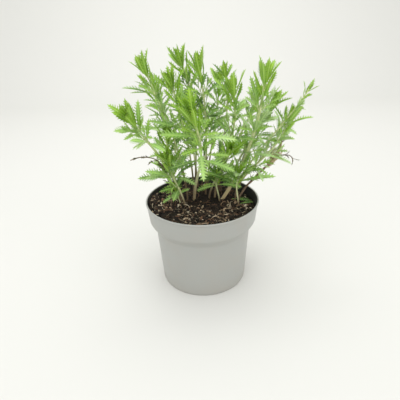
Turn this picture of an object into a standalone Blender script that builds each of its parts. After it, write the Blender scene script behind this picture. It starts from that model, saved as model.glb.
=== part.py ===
"""A young Russian sage in a round grower's pot: pot, potting soil, leafy stems and dry twigs.

Sizes are in millimetres, and MM turns them into Blender's metres. +Z is up, the origin is the middle of the
pot's base on the surface it stands on, and -Y is the side that the photograph shows.
"""

import itertools
import math
from typing import NamedTuple

import bmesh
import bpy
import numpy as np
from mathutils.bvhtree import BVHTree

MM = 0.001

# Pot: a thin formed shell. Its wall widens through a rounded shoulder to a flared rim band.
POT_HEIGHT = 130.0
BASE_RADIUS = 65.0
WALL_TOP_RADIUS = 70.2
SHOULDER_BOTTOM = 86.0
SHOULDER_STEPS = 3
BAND_BOTTOM = 104.0
BAND_RADIUS = 79.0
RIM_RADIUS = 82.5
LIP_OVERHANG = 0.8
LIP_HEIGHT = 2.0
LIP_ROUND = 1.0
SHEET = 1.4
ROUND_STEPS = 30
SHARP_ANGLE = math.radians(35)

# Underside: a foot ring and a middle pad stand on the surface, with a raised drain channel between them.
FOOT_CHAMFER = 1.5
FOOT_INNER_RADIUS = 56.0
CHANNEL_OUTER_RADIUS = 53.0
CHANNEL_INNER_RADIUS = 21.0
PAD_RADIUS = 17.0
CHANNEL_RISE = 3.0
FLOOR_SHIFT = 1.0  # how far the floor's corners lie from those under them
DRAIN_COUNT = 8
DRAIN_RADIUS = 4.5
DRAIN_CIRCLE_RADIUS = 42.0
DRAIN_SIDES = 8
DRILL_LENGTH = 12.0

# Soil, with the gap that parts which touch keep between their faces.
SOIL_TOP = 120.0
SOIL_EDGE_DROP = 3.0
SOIL_RINGS = (68.0, 54.0, 40.0, 25.0)
SOIL_LUMP = 1.3
SOIL_CLEAR = 0.8  # how far leaves keep above it
GAP = 0.3
MERGE_DISTANCE = 0.01

# The waves that make the soil's top lumpy: radians per mm along X and along Y, start in radians, share. The
# long one slopes it down to the right.
SOIL_WAVES = (
    (0.14, 0.16, 0.6, 0.5),
    (0.09, 0.16, 0.0, 0.3),
    (0.27, -0.19, 1.6, 0.3),
    (-0.018, 0.0, 0.0, 2.2),
)

# Stems: square in section, as in the whole mint family.
STEM_SIDES = 4
STEM_STEPS = 7
ROOT_DEPTH = 14.0
TIP_SHARE = 0.60
DIRECTION_STEP = 0.01
HOLE_MARGIN = 0.35

# Leaves: lance-shaped blades with forward-pointing teeth, thick at the rib and thin at the edge.
BLADE_THICKNESS = 1.4
STALK_SHARE = 0.13
STALK_HALF_WIDTH = 0.6
SUNK = 0.9
STAGGER = 1.2
WIDTH_SHARE = 0.215
OUTLINE_SKEW = 0.8  # below 1 the widest place lies nearer the foot
OUTLINE_FULLNESS = 0.75  # below 1 the outline is blunter at both ends
NOTCH_SHARE = 0.55
TOOTH_LEAN = math.radians(40)
TOOTH_CENTRE = 0.35
APEX_SPAN = 0.65
EDGE_POINTS_PER_RIB_POINT = 4
FOLD = 0.25

# The crown of leaf pairs at each tip: how far below the tip each pair sits, how wide it opens, and how long
# its leaves are against those of the highest pair below.
CROWN_DROPS = (7.0, 3.5, 0.8)
CROWN_OPENINGS = (36.0, 22.0, 9.0)
CROWN_SIZES = (0.88, 0.74, 0.57)

# How far leaves stray from the rule: degrees round the stem and from it, share of length, twist in radians.
STRAY_TURN = 12.0
STRAY_OPENING = 6.0
STRAY_LENGTH = 0.08
STRAY_TWIST = 0.5

# Blades turn their upper side to the light, by this many radians where they grow square to it.
LIGHT = np.array([0.0, -1.0, 0.0])
LIGHT_TWIST = 0.75

# How far a blade arches, in radians, with its stray: wide open leaves, then those that open less.
OPEN_BEND = (0.35, 0.25)
UPRIGHT_BEND = (0.15, 0.20)
UPRIGHT_BELOW = 40.0

# Room that a new leaf needs: its blade this thick misses its neighbours, and its outer part misses the leaves
# of its own stem. It is moved by these degrees round the stem and from it, or made smaller, until it does.
CLEAR_THICKNESS = 2.2
CLEAR_STEM = 0.5
OWN_THICKNESS = 0.4
OWN_FROM = 0.3
OWN_LIMIT = 40.0
TURNS = (0, 14, -14, 28, -28, 42, -42)
OPENINGS = (0, 9, -9, 18, -18, 28)
SIZES = (1.0, 0.85, 0.7)
SIZE_COST = 150.0


class Shoot(NamedTuple):
    """One leafy stem: where it runs, and the leaf pairs that it carries."""

    name: str
    foot: tuple  # x, y where it leaves the soil
    middle: tuple
    tip: tuple
    radius: float
    pairs: int  # leaf pairs below the crown
    first: float  # share of the stem at which the first pair sits
    turn: float  # degrees from +X to the first pair
    crown: int  # leaf pairs at the tip
    lengths: tuple = (44, 40)  # leaf length of the lowest and the highest pair
    opening: tuple = (66, 48)  # degrees between leaf and stem, lowest and highest pair
    teeth: int = 3  # teeth on each side of a leaf
    lean: tuple = (0, 0)  # x, y from the foot to the root end


SHOOTS = (
    Shoot("stem_back", (-6, 58), (-14, 88, 194), (-20, 102, 246), 1.9, 3, 0.48, 40, 2),
    Shoot("stem_back_left", (-24, 42), (-46, 60, 204), (-62, 72, 264), 2.0, 3, 0.48, 50, 2),
    Shoot("stem_back_right", (28, 56), (60, 64, 200), (86, 72, 254), 2.0, 3, 0.48, 40, 2),
    Shoot("stem_back_middle", (10, 62), (22, 70, 210), (30, 74, 280), 1.9, 3, 0.54, 35, 2),
    Shoot("stem_tall_left", (-22, 12), (-40, 0, 232), (-66, 5, 303), 1.6, 3, 0.64, 10, 3),
    Shoot("stem_low_left", (-32, 4), (-62, -26, 215), (-82, -46, 256), 2.2, 2, 0.76, -45, 3, opening=(85, 32)),
    Shoot("stem_mid_left", (-34, 20), (-43, 0, 180), (-44, -12, 222), 1.8, 2, 0.56, 30, 2),
    Shoot("stem_upper_left", (-12, 24), (-19, -11, 225), (-32, -25, 288), 1.8, 3, 0.56, 80, 3),
    Shoot("stem_top_left", (-10, 42), (-7, 17, 245), (-21, 15, 311), 1.8, 3, 0.60, 35, 3),
    Shoot("stem_top_middle", (6, 32), (8, 2, 235), (1, -4, 305), 1.9, 3, 0.58, 40, 3, teeth=4),
    Shoot("stem_front", (-12, 10), (0, -34, 205), (-9, -54, 256), 2.5, 3, 0.62, -5, 3, (46, 48), (92, 74)),
    Shoot("stem_thin_right", (22, 46), (36, 27, 228), (36, 30, 296), 1.3, 2, 0.76, 30, 2, (34, 30), teeth=2),
    Shoot("stem_mid_right", (20, 22), (42, -8, 224), (42, -16, 278), 2.0, 3, 0.52, 60, 3),
    Shoot(
        "stem_thick", (32, 15), (68, -6, 214), (80, -20, 292), 3.0, 4, 0.34, 60, 3, (46, 43), (66, 24), 4, (-9, 0)
    ),
    Shoot("stem_right", (42, 34), (72, 14, 212), (98, 15, 258), 1.9, 3, 0.54, 45, 2),
    Shoot("stem_wide_right", (50, 10), (90, -4, 212), (142, 5, 278), 1.5, 3, 0.58, 80, 2, (26, 22), teeth=2),
    Shoot("stem_low_right", (52, 24), (84, -2, 186), (117, -2, 238), 1.8, 3, 0.50, 90, 2, (40, 44)),
    Shoot("stem_inner_right", (11, 17), (28, -2, 172), (37, -18, 202), 1.8, 2, 0.52, 30, 2),
    Shoot("stem_inner_left", (-25, -9), (-36, -17, 162), (-43, -24, 192), 1.7, 2, 0.52, 90, 2),
    Shoot("shoot_right", (53, -8), (50, -9, 142), (52, -12, 168), 1.6, 1, 0.80, -14, 2, (54, 34), (62, 62)),
    Shoot("shoot_middle", (26, 8), (22, 1, 143), (20, -4, 166), 1.6, 1, 0.72, -5, 2, (35, 28), (98, 60)),
    Shoot("shoot_left", (-46, 12), (-46, 7, 150), (-47, 3, 176), 1.5, 1, 0.80, 0, 2, (44, 30), (80, 80)),
    Shoot("shoot_low", (-32, -2), (-35, -6, 135), (-37, -9, 150), 1.3, 1, 0.72, 35, 2, (28, 22), (98, 98), 2),
)


class Branch(NamedTuple):
    """One branch of a dry twig: the points that it runs by, and its radius at the two ends."""

    points: tuple
    thick: float
    thin: float


TWIGS = {
    "twig_right": (
        Branch(((52, 4, 106), (54, 4, 122), (79, 4, 159), (101, 6, 182), (113, 8, 208)), 1.8, 1.2),
        Branch(((99, 6, 179), (108, 4, 187), (119, 2, 190), (128, 1, 187), (129, 1, 181)), 0.8, 0.6),
        Branch(((112, 8, 205), (118, 12, 225), (120, 14, 243)), 0.9, 0.5),
        Branch(((96, 6, 175), (100, 10, 190), (99, 13, 206)), 0.9, 0.6),
    ),
    "twig_inner": (
        Branch(((42, 22, 106), (42, 22, 122), (48, 18, 150), (58, 12, 178), (74, 4, 216)), 0.9, 0.6),
        Branch(((59, 11, 182), (64, 13, 198), (66, 14, 208)), 0.7, 0.5),
    ),
    "twig_middle": (
        Branch(((30, 32, 106), (30, 32, 122), (27, 26, 182), (31, 21, 212), (46, 20, 231)), 0.9, 0.6),
    ),
    "twig_left": (
        Branch(((-46, -12, 106), (-46, -12, 122), (-50, -13, 178), (-67, -17, 200), (-93, -24, 198)), 1, 0.6),
    ),
    "twig_back": (
        Branch(((0, 44, 106), (0, 44, 122), (6, 46, 170), (-2, 44, 216)), 1.1, 0.6),
        Branch(((5, 46, 164), (16, 50, 186), (22, 52, 206)), 0.8, 0.5),
    ),
}

COLOURS = {
    "pot": ((0.40, 0.41, 0.39), 0.45),
    "soil": ((0.035, 0.022, 0.014), 0.95),
    "leaf": ((0.17, 0.33, 0.06), 0.60),
    "twig": ((0.16, 0.09, 0.055), 0.80),
}


def clear_scene():
    for obj in list(bpy.data.objects):
        bpy.data.objects.remove(obj)


def material(name):
    found = bpy.data.materials.get(name)
    if found:
        return found
    colour, roughness = COLOURS[name]
    made = bpy.data.materials.new(name)
    made.use_nodes = True
    shader = made.node_tree.nodes["Principled BSDF"]
    shader.inputs["Base Color"].default_value = (*colour, 1.0)
    shader.inputs["Roughness"].default_value = roughness
    shader.inputs["Metallic"].default_value = 0.0
    return made


def add_object(name, points, faces, finish=None):
    """A mesh object in the scene from points in millimetres, with its faces turned outwards."""
    mesh = bpy.data.meshes.new(name)
    mesh.from_pydata((np.asarray(points, float) * MM).tolist(), [], faces)
    work = bmesh.new()
    work.from_mesh(mesh)
    bmesh.ops.recalc_face_normals(work, faces=work.faces)
    work.to_mesh(mesh)
    work.free()
    if finish:
        mesh.materials.append(material(finish))
    obj = bpy.data.objects.new(name, mesh)
    bpy.context.scene.collection.objects.link(obj)
    return obj


def apply_boolean(obj, others, operation):
    """Joins the other objects to obj, or cuts them from it, and removes them."""
    group = bpy.data.collections.new(obj.name + "_" + operation.lower())
    bpy.context.scene.collection.children.link(group)
    for other in others:
        for home in list(other.users_collection):
            home.objects.unlink(other)
        group.objects.link(other)
    boolean = obj.modifiers.new(operation.title(), "BOOLEAN")
    boolean.operation = operation
    boolean.operand_type = "COLLECTION"
    boolean.collection = group
    boolean.solver = "EXACT"
    bpy.context.view_layer.update()
    graph = bpy.context.evaluated_depsgraph_get()
    mesh = bpy.data.meshes.new_from_object(obj.evaluated_get(graph))
    obj.modifiers.clear()
    obj.data = mesh
    for other in others:
        bpy.data.objects.remove(other)
    bpy.data.collections.remove(group)


def spun(profile):
    """Points and faces of a profile of (radius, height) points turned round Z, with poles on the axis."""
    work = bmesh.new()
    corners = [work.verts.new((radius, 0.0, height)) for radius, height in profile]
    edges = [work.edges.new(pair) for pair in itertools.pairwise(corners)]
    bmesh.ops.spin(
        work,
        geom=corners + edges,
        cent=(0, 0, 0),
        axis=(0, 0, 1),
        angle=math.tau,
        steps=ROUND_STEPS,
        use_merge=True,
    )
    bmesh.ops.remove_doubles(work, verts=work.verts, dist=MERGE_DISTANCE)
    work.verts.index_update()
    points = np.array([vert.co[:] for vert in work.verts])
    faces = [[vert.index for vert in face.verts] for face in work.faces]
    work.free()
    return points, faces


def wall_heights():
    """The heights at which the wall turns: the foot, the steps of the shoulder, and under the lip."""
    shoulder = np.linspace(SHOULDER_BOTTOM, BAND_BOTTOM, SHOULDER_STEPS + 1)
    return [FOOT_CHAMFER, *shoulder, POT_HEIGHT - LIP_HEIGHT - LIP_ROUND]


def outer_radius(height):
    """The radius of the wall's outside: straight to the shoulder, eased through it, straight to the lip."""
    turns = (0.0, SHOULDER_BOTTOM, BAND_BOTTOM, POT_HEIGHT)
    stretches = itertools.pairwise(turns)
    wall, shoulder, band = (np.interp(height, stretch, (0.0, 1.0)) for stretch in stretches)
    eased = shoulder * shoulder * (3.0 - 2.0 * shoulder)
    radius = BASE_RADIUS + (WALL_TOP_RADIUS - BASE_RADIUS) * wall
    radius += (BAND_RADIUS - WALL_TOP_RADIUS) * eased
    return float(radius + (RIM_RADIUS - LIP_OVERHANG - BAND_RADIUS) * band)


def inner_radius(height):
    return outer_radius(height) - SHEET


def pot_outside():
    """The outer wall from the foot up to the rim, as (radius, height) points."""
    wall = [(outer_radius(height), height) for height in wall_heights()]
    lip = [(RIM_RADIUS, POT_HEIGHT - LIP_HEIGHT), (RIM_RADIUS, POT_HEIGHT)]
    return [(BASE_RADIUS - FOOT_CHAMFER, 0.0), *wall, *lip]


def pot_inside():
    """The inner wall from the rim down to the floor, as (radius, height) points."""
    heights = [POT_HEIGHT, *wall_heights()[-2:0:-1], SHEET + FLOOR_SHIFT]
    return [(inner_radius(height), height) for height in heights]


def build_pot():
    underside = [
        (0.0, 0.0),
        (PAD_RADIUS, 0.0),
        (CHANNEL_INNER_RADIUS, CHANNEL_RISE),
        (CHANNEL_OUTER_RADIUS, CHANNEL_RISE),
        (FOOT_INNER_RADIUS, 0.0),
    ]
    floor = [
        (FOOT_INNER_RADIUS + FLOOR_SHIFT, SHEET),
        (CHANNEL_OUTER_RADIUS + FLOOR_SHIFT, CHANNEL_RISE + SHEET),
        (CHANNEL_INNER_RADIUS - FLOOR_SHIFT, CHANNEL_RISE + SHEET),
        (PAD_RADIUS - FLOOR_SHIFT, SHEET),
        (0.0, SHEET),
    ]
    pot = add_object("pot", *spun(underside + pot_outside() + pot_inside() + floor), "pot")
    apply_boolean(pot, [drain_cutter(step) for step in range(DRAIN_COUNT)], "DIFFERENCE")
    pot.data.shade_smooth()
    pot.data.set_sharp_from_angle(angle=SHARP_ANGLE)


def drain_cutter(step):
    """An upright cylinder that cuts one of the drain holes."""
    angle = math.tau * step / DRAIN_COUNT
    centre = (DRAIN_CIRCLE_RADIUS * math.cos(angle), DRAIN_CIRCLE_RADIUS * math.sin(angle), CHANNEL_RISE)
    bpy.ops.mesh.primitive_cylinder_add(
        vertices=DRAIN_SIDES,
        radius=DRAIN_RADIUS * MM,
        depth=DRILL_LENGTH * MM,
        location=[value * MM for value in centre],
    )
    cutter = bpy.context.object
    cutter.name = f"drain_{step}"
    cutter.hide_render = True
    cutter.display_type = "WIRE"
    return cutter


def soil_height(x, y):
    """The lumpy top of the soil: waves that cross each other."""
    waves = 0.0
    for turn_x, turn_y, start, share in SOIL_WAVES:
        waves = waves + share * np.sin(x * turn_x + y * turn_y + start)
    return SOIL_TOP + SOIL_LUMP * waves


def build_soil(cutters):
    bottom = CHANNEL_RISE + SHEET + GAP
    edge = SOIL_TOP - SOIL_EDGE_DROP
    heights = [bottom, *wall_heights()[1:-1], edge]
    wall = [(inner_radius(height) - GAP, height) for height in heights]
    top = [(radius, SOIL_TOP) for radius in SOIL_RINGS]
    points, faces = spun([(0.0, bottom), *wall, *top, (0.0, SOIL_TOP)])
    rim = np.flatnonzero(np.isclose(points[:, 2], edge))
    lifted = points[:, 2] > (BAND_BOTTOM + edge) / 2
    points[lifted, 2] += soil_height(points[lifted, 0], points[lifted, 1]) - SOIL_TOP
    for index in rim:
        x, y, height = points[index]
        points[index, :2] *= (inner_radius(height) - GAP) / math.hypot(x, y)
    soil = add_object("soil", points, faces, "soil")
    apply_boolean(soil, cutters, "DIFFERENCE")


def curve_through(points):
    """A function of a share 0 to 1 that runs a smooth line through the points, by their spacing."""
    points = np.asarray(points, float)
    reach = np.concatenate([[0.0], np.cumsum(np.linalg.norm(np.diff(points, axis=0), axis=1))])
    cubic = np.polyfit(reach / reach[-1], points, min(3, len(points) - 1))
    powers = np.arange(len(cubic))[::-1]
    return lambda share: (np.atleast_1d(share)[:, None] ** powers) @ cubic


def square_axes(direction):
    """The two unit vectors across a direction: the first as near +X as can be, the second towards +Y."""
    direction = direction / np.linalg.norm(direction)
    across = np.array([1.0, 0.0, 0.0]) - direction[0] * direction
    across /= np.linalg.norm(across)
    return across, np.cross(direction, across)


def tube(line, radii):
    """Points and faces of a closed square tube along the line's points, ending in a short point."""
    sides = STEM_SIDES
    line = np.asarray(line, float)
    headings = np.gradient(line, axis=0)
    angles = math.tau * (np.arange(sides) + 0.5) / sides
    rings = []
    for centre, heading, radius in zip(line, headings, radii):
        across, deep = square_axes(heading)
        rings.append(centre + radius * (np.cos(angles)[:, None] * across + np.sin(angles)[:, None] * deep))
    last = headings[-1] / np.linalg.norm(headings[-1])
    points = np.concatenate([*rings, [line[-1] + last * radii[-1]]])
    faces = [list(range(sides))]
    for ring, side in itertools.product(range(len(line) - 1), range(sides)):
        low, high = ring * sides, (ring + 1) * sides
        following = (side + 1) % sides
        faces.append([low + side, low + following, high + following, high + side])
    start = (len(line) - 1) * sides
    faces += [[start + side, start + (side + 1) % sides, len(points) - 1] for side in range(sides)]
    return points, faces


class Stem:
    """A shoot's stem from its root end to its tip: a smooth curve, drawn in a few straight stretches."""

    def __init__(self, shoot):
        x, y = shoot.foot
        root = (x + shoot.lean[0], y + shoot.lean[1], SOIL_TOP - ROOT_DEPTH)
        self.shoot = shoot
        self.shares = np.linspace(0.0, 1.0, STEM_STEPS)
        self.curve = curve_through([root, (x, y, SOIL_TOP), shoot.middle, shoot.tip])
        self.line = self.curve(self.shares)
        self.length = float(np.linalg.norm(np.diff(self.line, axis=0), axis=1).sum())

    def radius(self, share):
        return self.shoot.radius * (1.0 - (1.0 - TIP_SHARE) * share)

    def tube(self, margin=0.0):
        """The stem's mesh, made thicker all round by a margin."""
        line = self.line.copy()
        line[0, 2] -= margin
        return tube(line, self.radius(self.shares) + margin)

    def frame(self, share):
        """The point on the drawn line, the direction and the two cross directions at a share of it."""
        point = np.array([np.interp(share, self.shares, self.line[:, axis]) for axis in range(3)])
        before, after = self.curve([share - DIRECTION_STEP, share + DIRECTION_STEP])
        along = (after - before) / np.linalg.norm(after - before)
        return point, along, *square_axes(along)


class Leaf(NamedTuple):
    origin: np.ndarray  # on the stem's axis
    along: np.ndarray  # the way the rib sets out
    face: np.ndarray  # the upper side there
    length: float
    bend: float  # radians that the rib turns towards its underside
    twist: float  # radians that the blade turns about its rib
    teeth: int


def rib_frame(leaf, share):
    """Points, tangents, sides and upper normals of the rib, which is an arc of leaf.bend.

    The sides and normals turn evenly about the rib, from level at its root to leaf.twist at its end.
    """
    share = np.atleast_1d(share)[:, None]
    angle = leaf.bend * share
    run = np.sin(angle) / leaf.bend
    drop = (1.0 - np.cos(angle)) / leaf.bend
    points = leaf.origin + leaf.length * (run * leaf.along - drop * leaf.face)
    tangents = np.cos(angle) * leaf.along - np.sin(angle) * leaf.face
    normals = np.cos(angle) * leaf.face + np.sin(angle) * leaf.along
    level = np.cross(leaf.along, leaf.face)
    turn = leaf.twist * share
    sides = np.cos(turn) * level + np.sin(turn) * normals
    uppers = np.cos(turn) * normals - np.sin(turn) * level
    return points, tangents, sides, uppers


def width_at(blade_share):
    """The outline's share of its full half width, from 0 at the blade's foot to 0 at its end."""
    return np.sin(math.pi * np.clip(blade_share, 0.0, 1.0) ** OUTLINE_SKEW) ** OUTLINE_FULLNESS


def edge_points(leaf, blade_share, reach, hand):
    """Points of the leaf's edge: out from the rib along forward-leaning veins, raised as the blade folds."""
    share = STALK_SHARE + (1.0 - STALK_SHARE) * blade_share
    points, tangents, sides, uppers = rib_frame(leaf, share)
    reach = np.atleast_1d(reach)[:, None]
    out = math.cos(TOOTH_LEAN) * hand * sides + math.sin(TOOTH_LEAN) * tangents
    return points + reach * (out + FOLD * uppers)


def half_edge(leaf, hand):
    """One side's edge from the stalk's root to the apex: a notch, a tooth and so on in turn."""
    half_width = WIDTH_SHARE * leaf.length
    notches = np.arange(leaf.teeth + 1) / (leaf.teeth + APEX_SPAN)
    tips = (np.arange(leaf.teeth) + TOOTH_CENTRE) / (leaf.teeth + APEX_SPAN)
    notch_reach = np.maximum(NOTCH_SHARE * half_width * width_at(notches), STALK_HALF_WIDTH)
    root, _, sides, _ = rib_frame(leaf, 0.0)
    edge = np.empty((2 * leaf.teeth + 3, 3))
    edge[0] = (root + hand * STALK_HALF_WIDTH * sides)[0]
    edge[1:-1:2] = edge_points(leaf, notches, notch_reach, hand)
    edge[2:-1:2] = edge_points(leaf, tips, half_width * width_at(tips), hand)
    edge[-1] = rib_frame(leaf, 1.0)[0][0]
    return edge


def rib_shares(teeth):
    """Shares of the leaf's length at which the rib has points: its root, then every other notch."""
    notches = np.arange(1, teeth + 1, 2) / (teeth + APEX_SPAN)
    return np.concatenate([[0.0], STALK_SHARE + (1.0 - STALK_SHARE) * notches])


def blade(leaf, thickness=BLADE_THICKNESS):
    """Points and faces of a toothed blade whose stalk starts inside the stem.

    The rib has upper and lower points, and the edge has single points, so the blade has its full thickness
    along the rib and is sharp at its edge. Each stretch of edge fans out from the nearest rib point, alike on
    the upper and the lower face.
    """
    rib, _, _, uppers = rib_frame(leaf, rib_shares(leaf.teeth))
    left, right = half_edge(leaf, 1), half_edge(leaf, -1)
    points = np.concatenate([rib + uppers * thickness / 2, rib - uppers * thickness / 2, left, right[:-1]])
    upper, lower = list(range(len(rib))), list(range(len(rib), 2 * len(rib)))
    left_ids = list(range(2 * len(rib), 2 * len(rib) + len(left)))
    right_ids = [left_ids[-1] + 1 + step for step in range(len(right) - 1)] + [left_ids[-1]]
    faces = [[upper[0], lower[0], left_ids[0]], [upper[0], lower[0], right_ids[0]]]
    for ribs, edge in itertools.product((upper, lower), (left_ids, right_ids)):
        owner = 0
        for step in range(len(edge) - 1):
            due = min(math.ceil(step / EDGE_POINTS_PER_RIB_POINT), len(ribs) - 1)
            if due != owner:
                faces.append([ribs[owner], edge[step], ribs[due]])
                owner = due
            faces.append([ribs[owner], edge[step], edge[step + 1]])
    return points, faces


class Growth:
    """Keeps the shapes that stand already, and finds each new leaf a place clear of them."""

    def __init__(self):
        self.trees = []
        moves = itertools.product(SIZES, TURNS, OPENINGS)
        self.moves = sorted(moves, key=lambda move: abs(move[1]) + abs(move[2]) + SIZE_COST * (1 - move[0]))

    def add(self, owner, points, faces):
        points = np.asarray(points)
        tree = BVHTree.FromPolygons(points.tolist(), faces)
        self.trees.append((owner, points.min(axis=0), points.max(axis=0), tree))

    def blocked(self, owner, points, faces, own):
        """Whether the shape crosses one that stands: of another owner, or of this one where own is set."""
        low, high = points.min(axis=0), points.max(axis=0)
        tree = BVHTree.FromPolygons(points.tolist(), faces)
        for other, other_low, other_high, other_tree in self.trees:
            apart = (low > other_high).any() or (high < other_low).any()
            if (other == owner) == own and not apart and tree.overlap(other_tree):
                return True
        return False

    def settle(self, owner, place):
        """The first leaf of place(turn, opening, size) that is clear, or None."""
        for size, turn, opening in self.moves:
            leaf = place(turn, opening, size)
            if self.blocked(owner, *blade(leaf, CLEAR_THICKNESS), own=False):
                continue
            outer_root = leaf.origin + OWN_FROM * leaf.length * leaf.along
            outer = leaf._replace(origin=outer_root, length=(1.0 - OWN_FROM) * leaf.length)
            near = abs(turn) + abs(opening) < OWN_LIMIT
            if near and self.blocked(owner, *blade(outer, OWN_THICKNESS), own=True):
                continue
            self.add(owner, *blade(leaf))
            return leaf
        return None


def leaf_pairs(shoot, length_of_stem):
    """Each pair's share of the stem, leaf length, opening and turn, from the lowest up to the crown."""
    pairs = []
    crown_foot = 1.0 - CROWN_DROPS[0] / length_of_stem
    for step in range(shoot.pairs):
        up = step / max(shoot.pairs - 1, 1)
        share = shoot.first + (crown_foot - shoot.first) * step / shoot.pairs
        length = shoot.lengths[0] + (shoot.lengths[1] - shoot.lengths[0]) * up
        opening = shoot.opening[0] + (shoot.opening[1] - shoot.opening[0]) * up
        pairs.append((share, length, opening, shoot.turn + 90.0 * step))
    for step in range(shoot.crown):
        share = 1.0 - CROWN_DROPS[step] / length_of_stem
        length = CROWN_SIZES[step] * shoot.lengths[1]
        pairs.append((share, length, CROWN_OPENINGS[step], shoot.turn + 90.0 * (shoot.pairs + step)))
    return pairs


def leaf_on(shoot, stem, share, length, opening, turn, sway):
    """A function that places a leaf of the shoot, given a further turn and opening and a size."""
    point, along, across, deep = stem.frame(share)
    inset = max(stem.radius(share) * math.cos(math.pi / STEM_SIDES) - SUNK, 0.0)
    middle_bend, stray_bend = OPEN_BEND if opening > UPRIGHT_BELOW else UPRIGHT_BEND

    def place(more_turn, more_opening, size):
        azimuth = math.radians(turn + STRAY_TURN * sway[0] + more_turn)
        tilt = math.radians(opening + STRAY_OPENING * sway[1] + more_opening)
        outward = math.cos(azimuth) * across + math.sin(azimuth) * deep
        return Leaf(
            origin=point + inset * outward,
            along=math.cos(tilt) * along + math.sin(tilt) * outward,
            face=math.sin(tilt) * along - math.cos(tilt) * outward,
            length=length * size * (1.0 + STRAY_LENGTH * sway[2]),
            bend=middle_bend + stray_bend * sway[3],
            twist=STRAY_TWIST * sway[4] + LIGHT_TWIST * (np.cross(along, outward) @ LIGHT),
            teeth=shoot.teeth,
        )

    return place


def grow_leaves(shoot, stem, growth, seed):
    """The shoot's leaves, in opposite pairs that turn a quarter from one to the next."""
    chance = np.random.default_rng(seed)
    leaves = []
    for share, length, opening, turn in leaf_pairs(shoot, stem.length):
        for side in (-0.5, 0.5):
            sway = chance.uniform(-1.0, 1.0, 5)
            own_share = share + side * STAGGER / stem.length
            place = leaf_on(shoot, stem, own_share, length, opening, turn + 180.0 * (side < 0), sway)
            leaf = growth.settle(shoot.name, place)
            if leaf:
                leaves.append(leaf)
    return leaves


def build_plant(growth):
    """Every leafy stem, joined with its leaves, and the cutters of the holes that they stand in."""
    stems = {shoot.name: Stem(shoot) for shoot in SHOOTS}
    for name, stem in stems.items():
        growth.add(name, *stem.tube(CLEAR_STEM))
    cutters = []
    for seed, shoot in enumerate(SHOOTS):
        stem = stems[shoot.name]
        leaves = grow_leaves(shoot, stem, growth, seed)
        obj = add_object(shoot.name, *stem.tube(), "leaf")
        blades = [add_object(f"{shoot.name}_leaf_{count}", *blade(leaf)) for count, leaf in enumerate(leaves)]
        apply_boolean(obj, blades, "UNION")
        cutters.append(add_object(shoot.name + "_hole", *stem.tube(HOLE_MARGIN)))
    return cutters


def twig_tube(points, thick, thin, margin=0.0):
    shares = np.linspace(0.0, 1.0, 2 * len(points))
    line = curve_through(points)(shares)
    line[0, 2] -= margin
    return tube(line, thick + (thin - thick) * shares + margin)


def build_twigs(growth):
    """The dry twigs and the cutters of their holes."""
    cutters = []
    for name, branches in TWIGS.items():
        made = [add_object(name, *twig_tube(*branch), "twig") for branch in branches]
        if len(made) > 1:
            apply_boolean(made[0], made[1:], "UNION")
        cutters.append(add_object(name + "_hole", *twig_tube(*branches[0], HOLE_MARGIN)))
        for branch in branches:
            growth.add(name, *twig_tube(*branch, CLEAR_STEM))
    return cutters


def pot_and_soil_faces(growth):
    """Adds the pot's wall, and a face a little above the soil's that leaves keep above."""
    growth.add("pot", *spun(pot_outside() + pot_inside()))
    radii = (0.0, *SOIL_RINGS[::-1], inner_radius(SOIL_TOP))
    points, faces = spun([(radius, SOIL_TOP) for radius in radii])
    points[:, 2] = soil_height(points[:, 0], points[:, 1]) + SOIL_CLEAR
    growth.add("soil", points, faces)


def main():
    clear_scene()
    build_pot()
    growth = Growth()
    cutters = build_twigs(growth)
    pot_and_soil_faces(growth)
    cutters += build_plant(growth)
    build_soil(cutters)


if __name__ == "__main__":
    main()
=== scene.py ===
"""The looks of a young Russian sage in a round grower's pot, made round its solid model.

Sizes are in millimetres, and MM turns them into Blender's metres; the settings that a user changes are in
metres already. +Z is up, the origin is the middle of the pot's base, and -Y is the side that the photograph
shows.
"""

import itertools
from math import cos, pi, radians, sin, tau
from typing import NamedTuple

import bpy
import numpy as np
from bpy.props import FloatProperty, FloatVectorProperty, IntProperty, PointerProperty
from mathutils import Matrix, Vector
from mathutils.kdtree import KDTree


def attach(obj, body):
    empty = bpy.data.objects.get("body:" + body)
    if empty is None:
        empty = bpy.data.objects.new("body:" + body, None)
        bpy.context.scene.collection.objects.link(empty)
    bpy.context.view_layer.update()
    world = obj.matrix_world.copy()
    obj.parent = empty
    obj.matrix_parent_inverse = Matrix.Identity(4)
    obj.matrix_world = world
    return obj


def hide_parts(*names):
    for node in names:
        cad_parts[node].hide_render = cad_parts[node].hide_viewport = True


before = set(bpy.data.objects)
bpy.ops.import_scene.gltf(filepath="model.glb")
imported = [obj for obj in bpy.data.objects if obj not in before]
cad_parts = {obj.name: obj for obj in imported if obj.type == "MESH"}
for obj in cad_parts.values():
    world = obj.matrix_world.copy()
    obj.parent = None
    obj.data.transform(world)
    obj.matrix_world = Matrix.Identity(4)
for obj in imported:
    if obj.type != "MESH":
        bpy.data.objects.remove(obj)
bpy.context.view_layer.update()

bl_info = {
    "name": "Potted Russian Sage",
    "version": (1, 0, 0),
    "blender": (4, 5, 0),
    "location": "3D View > Sidebar > Sage",
    "description": "Makes the pot, soil, stems and leaves of a potted Russian sage round its solid model",
    "category": "Object",
}

MM = 0.001

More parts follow.
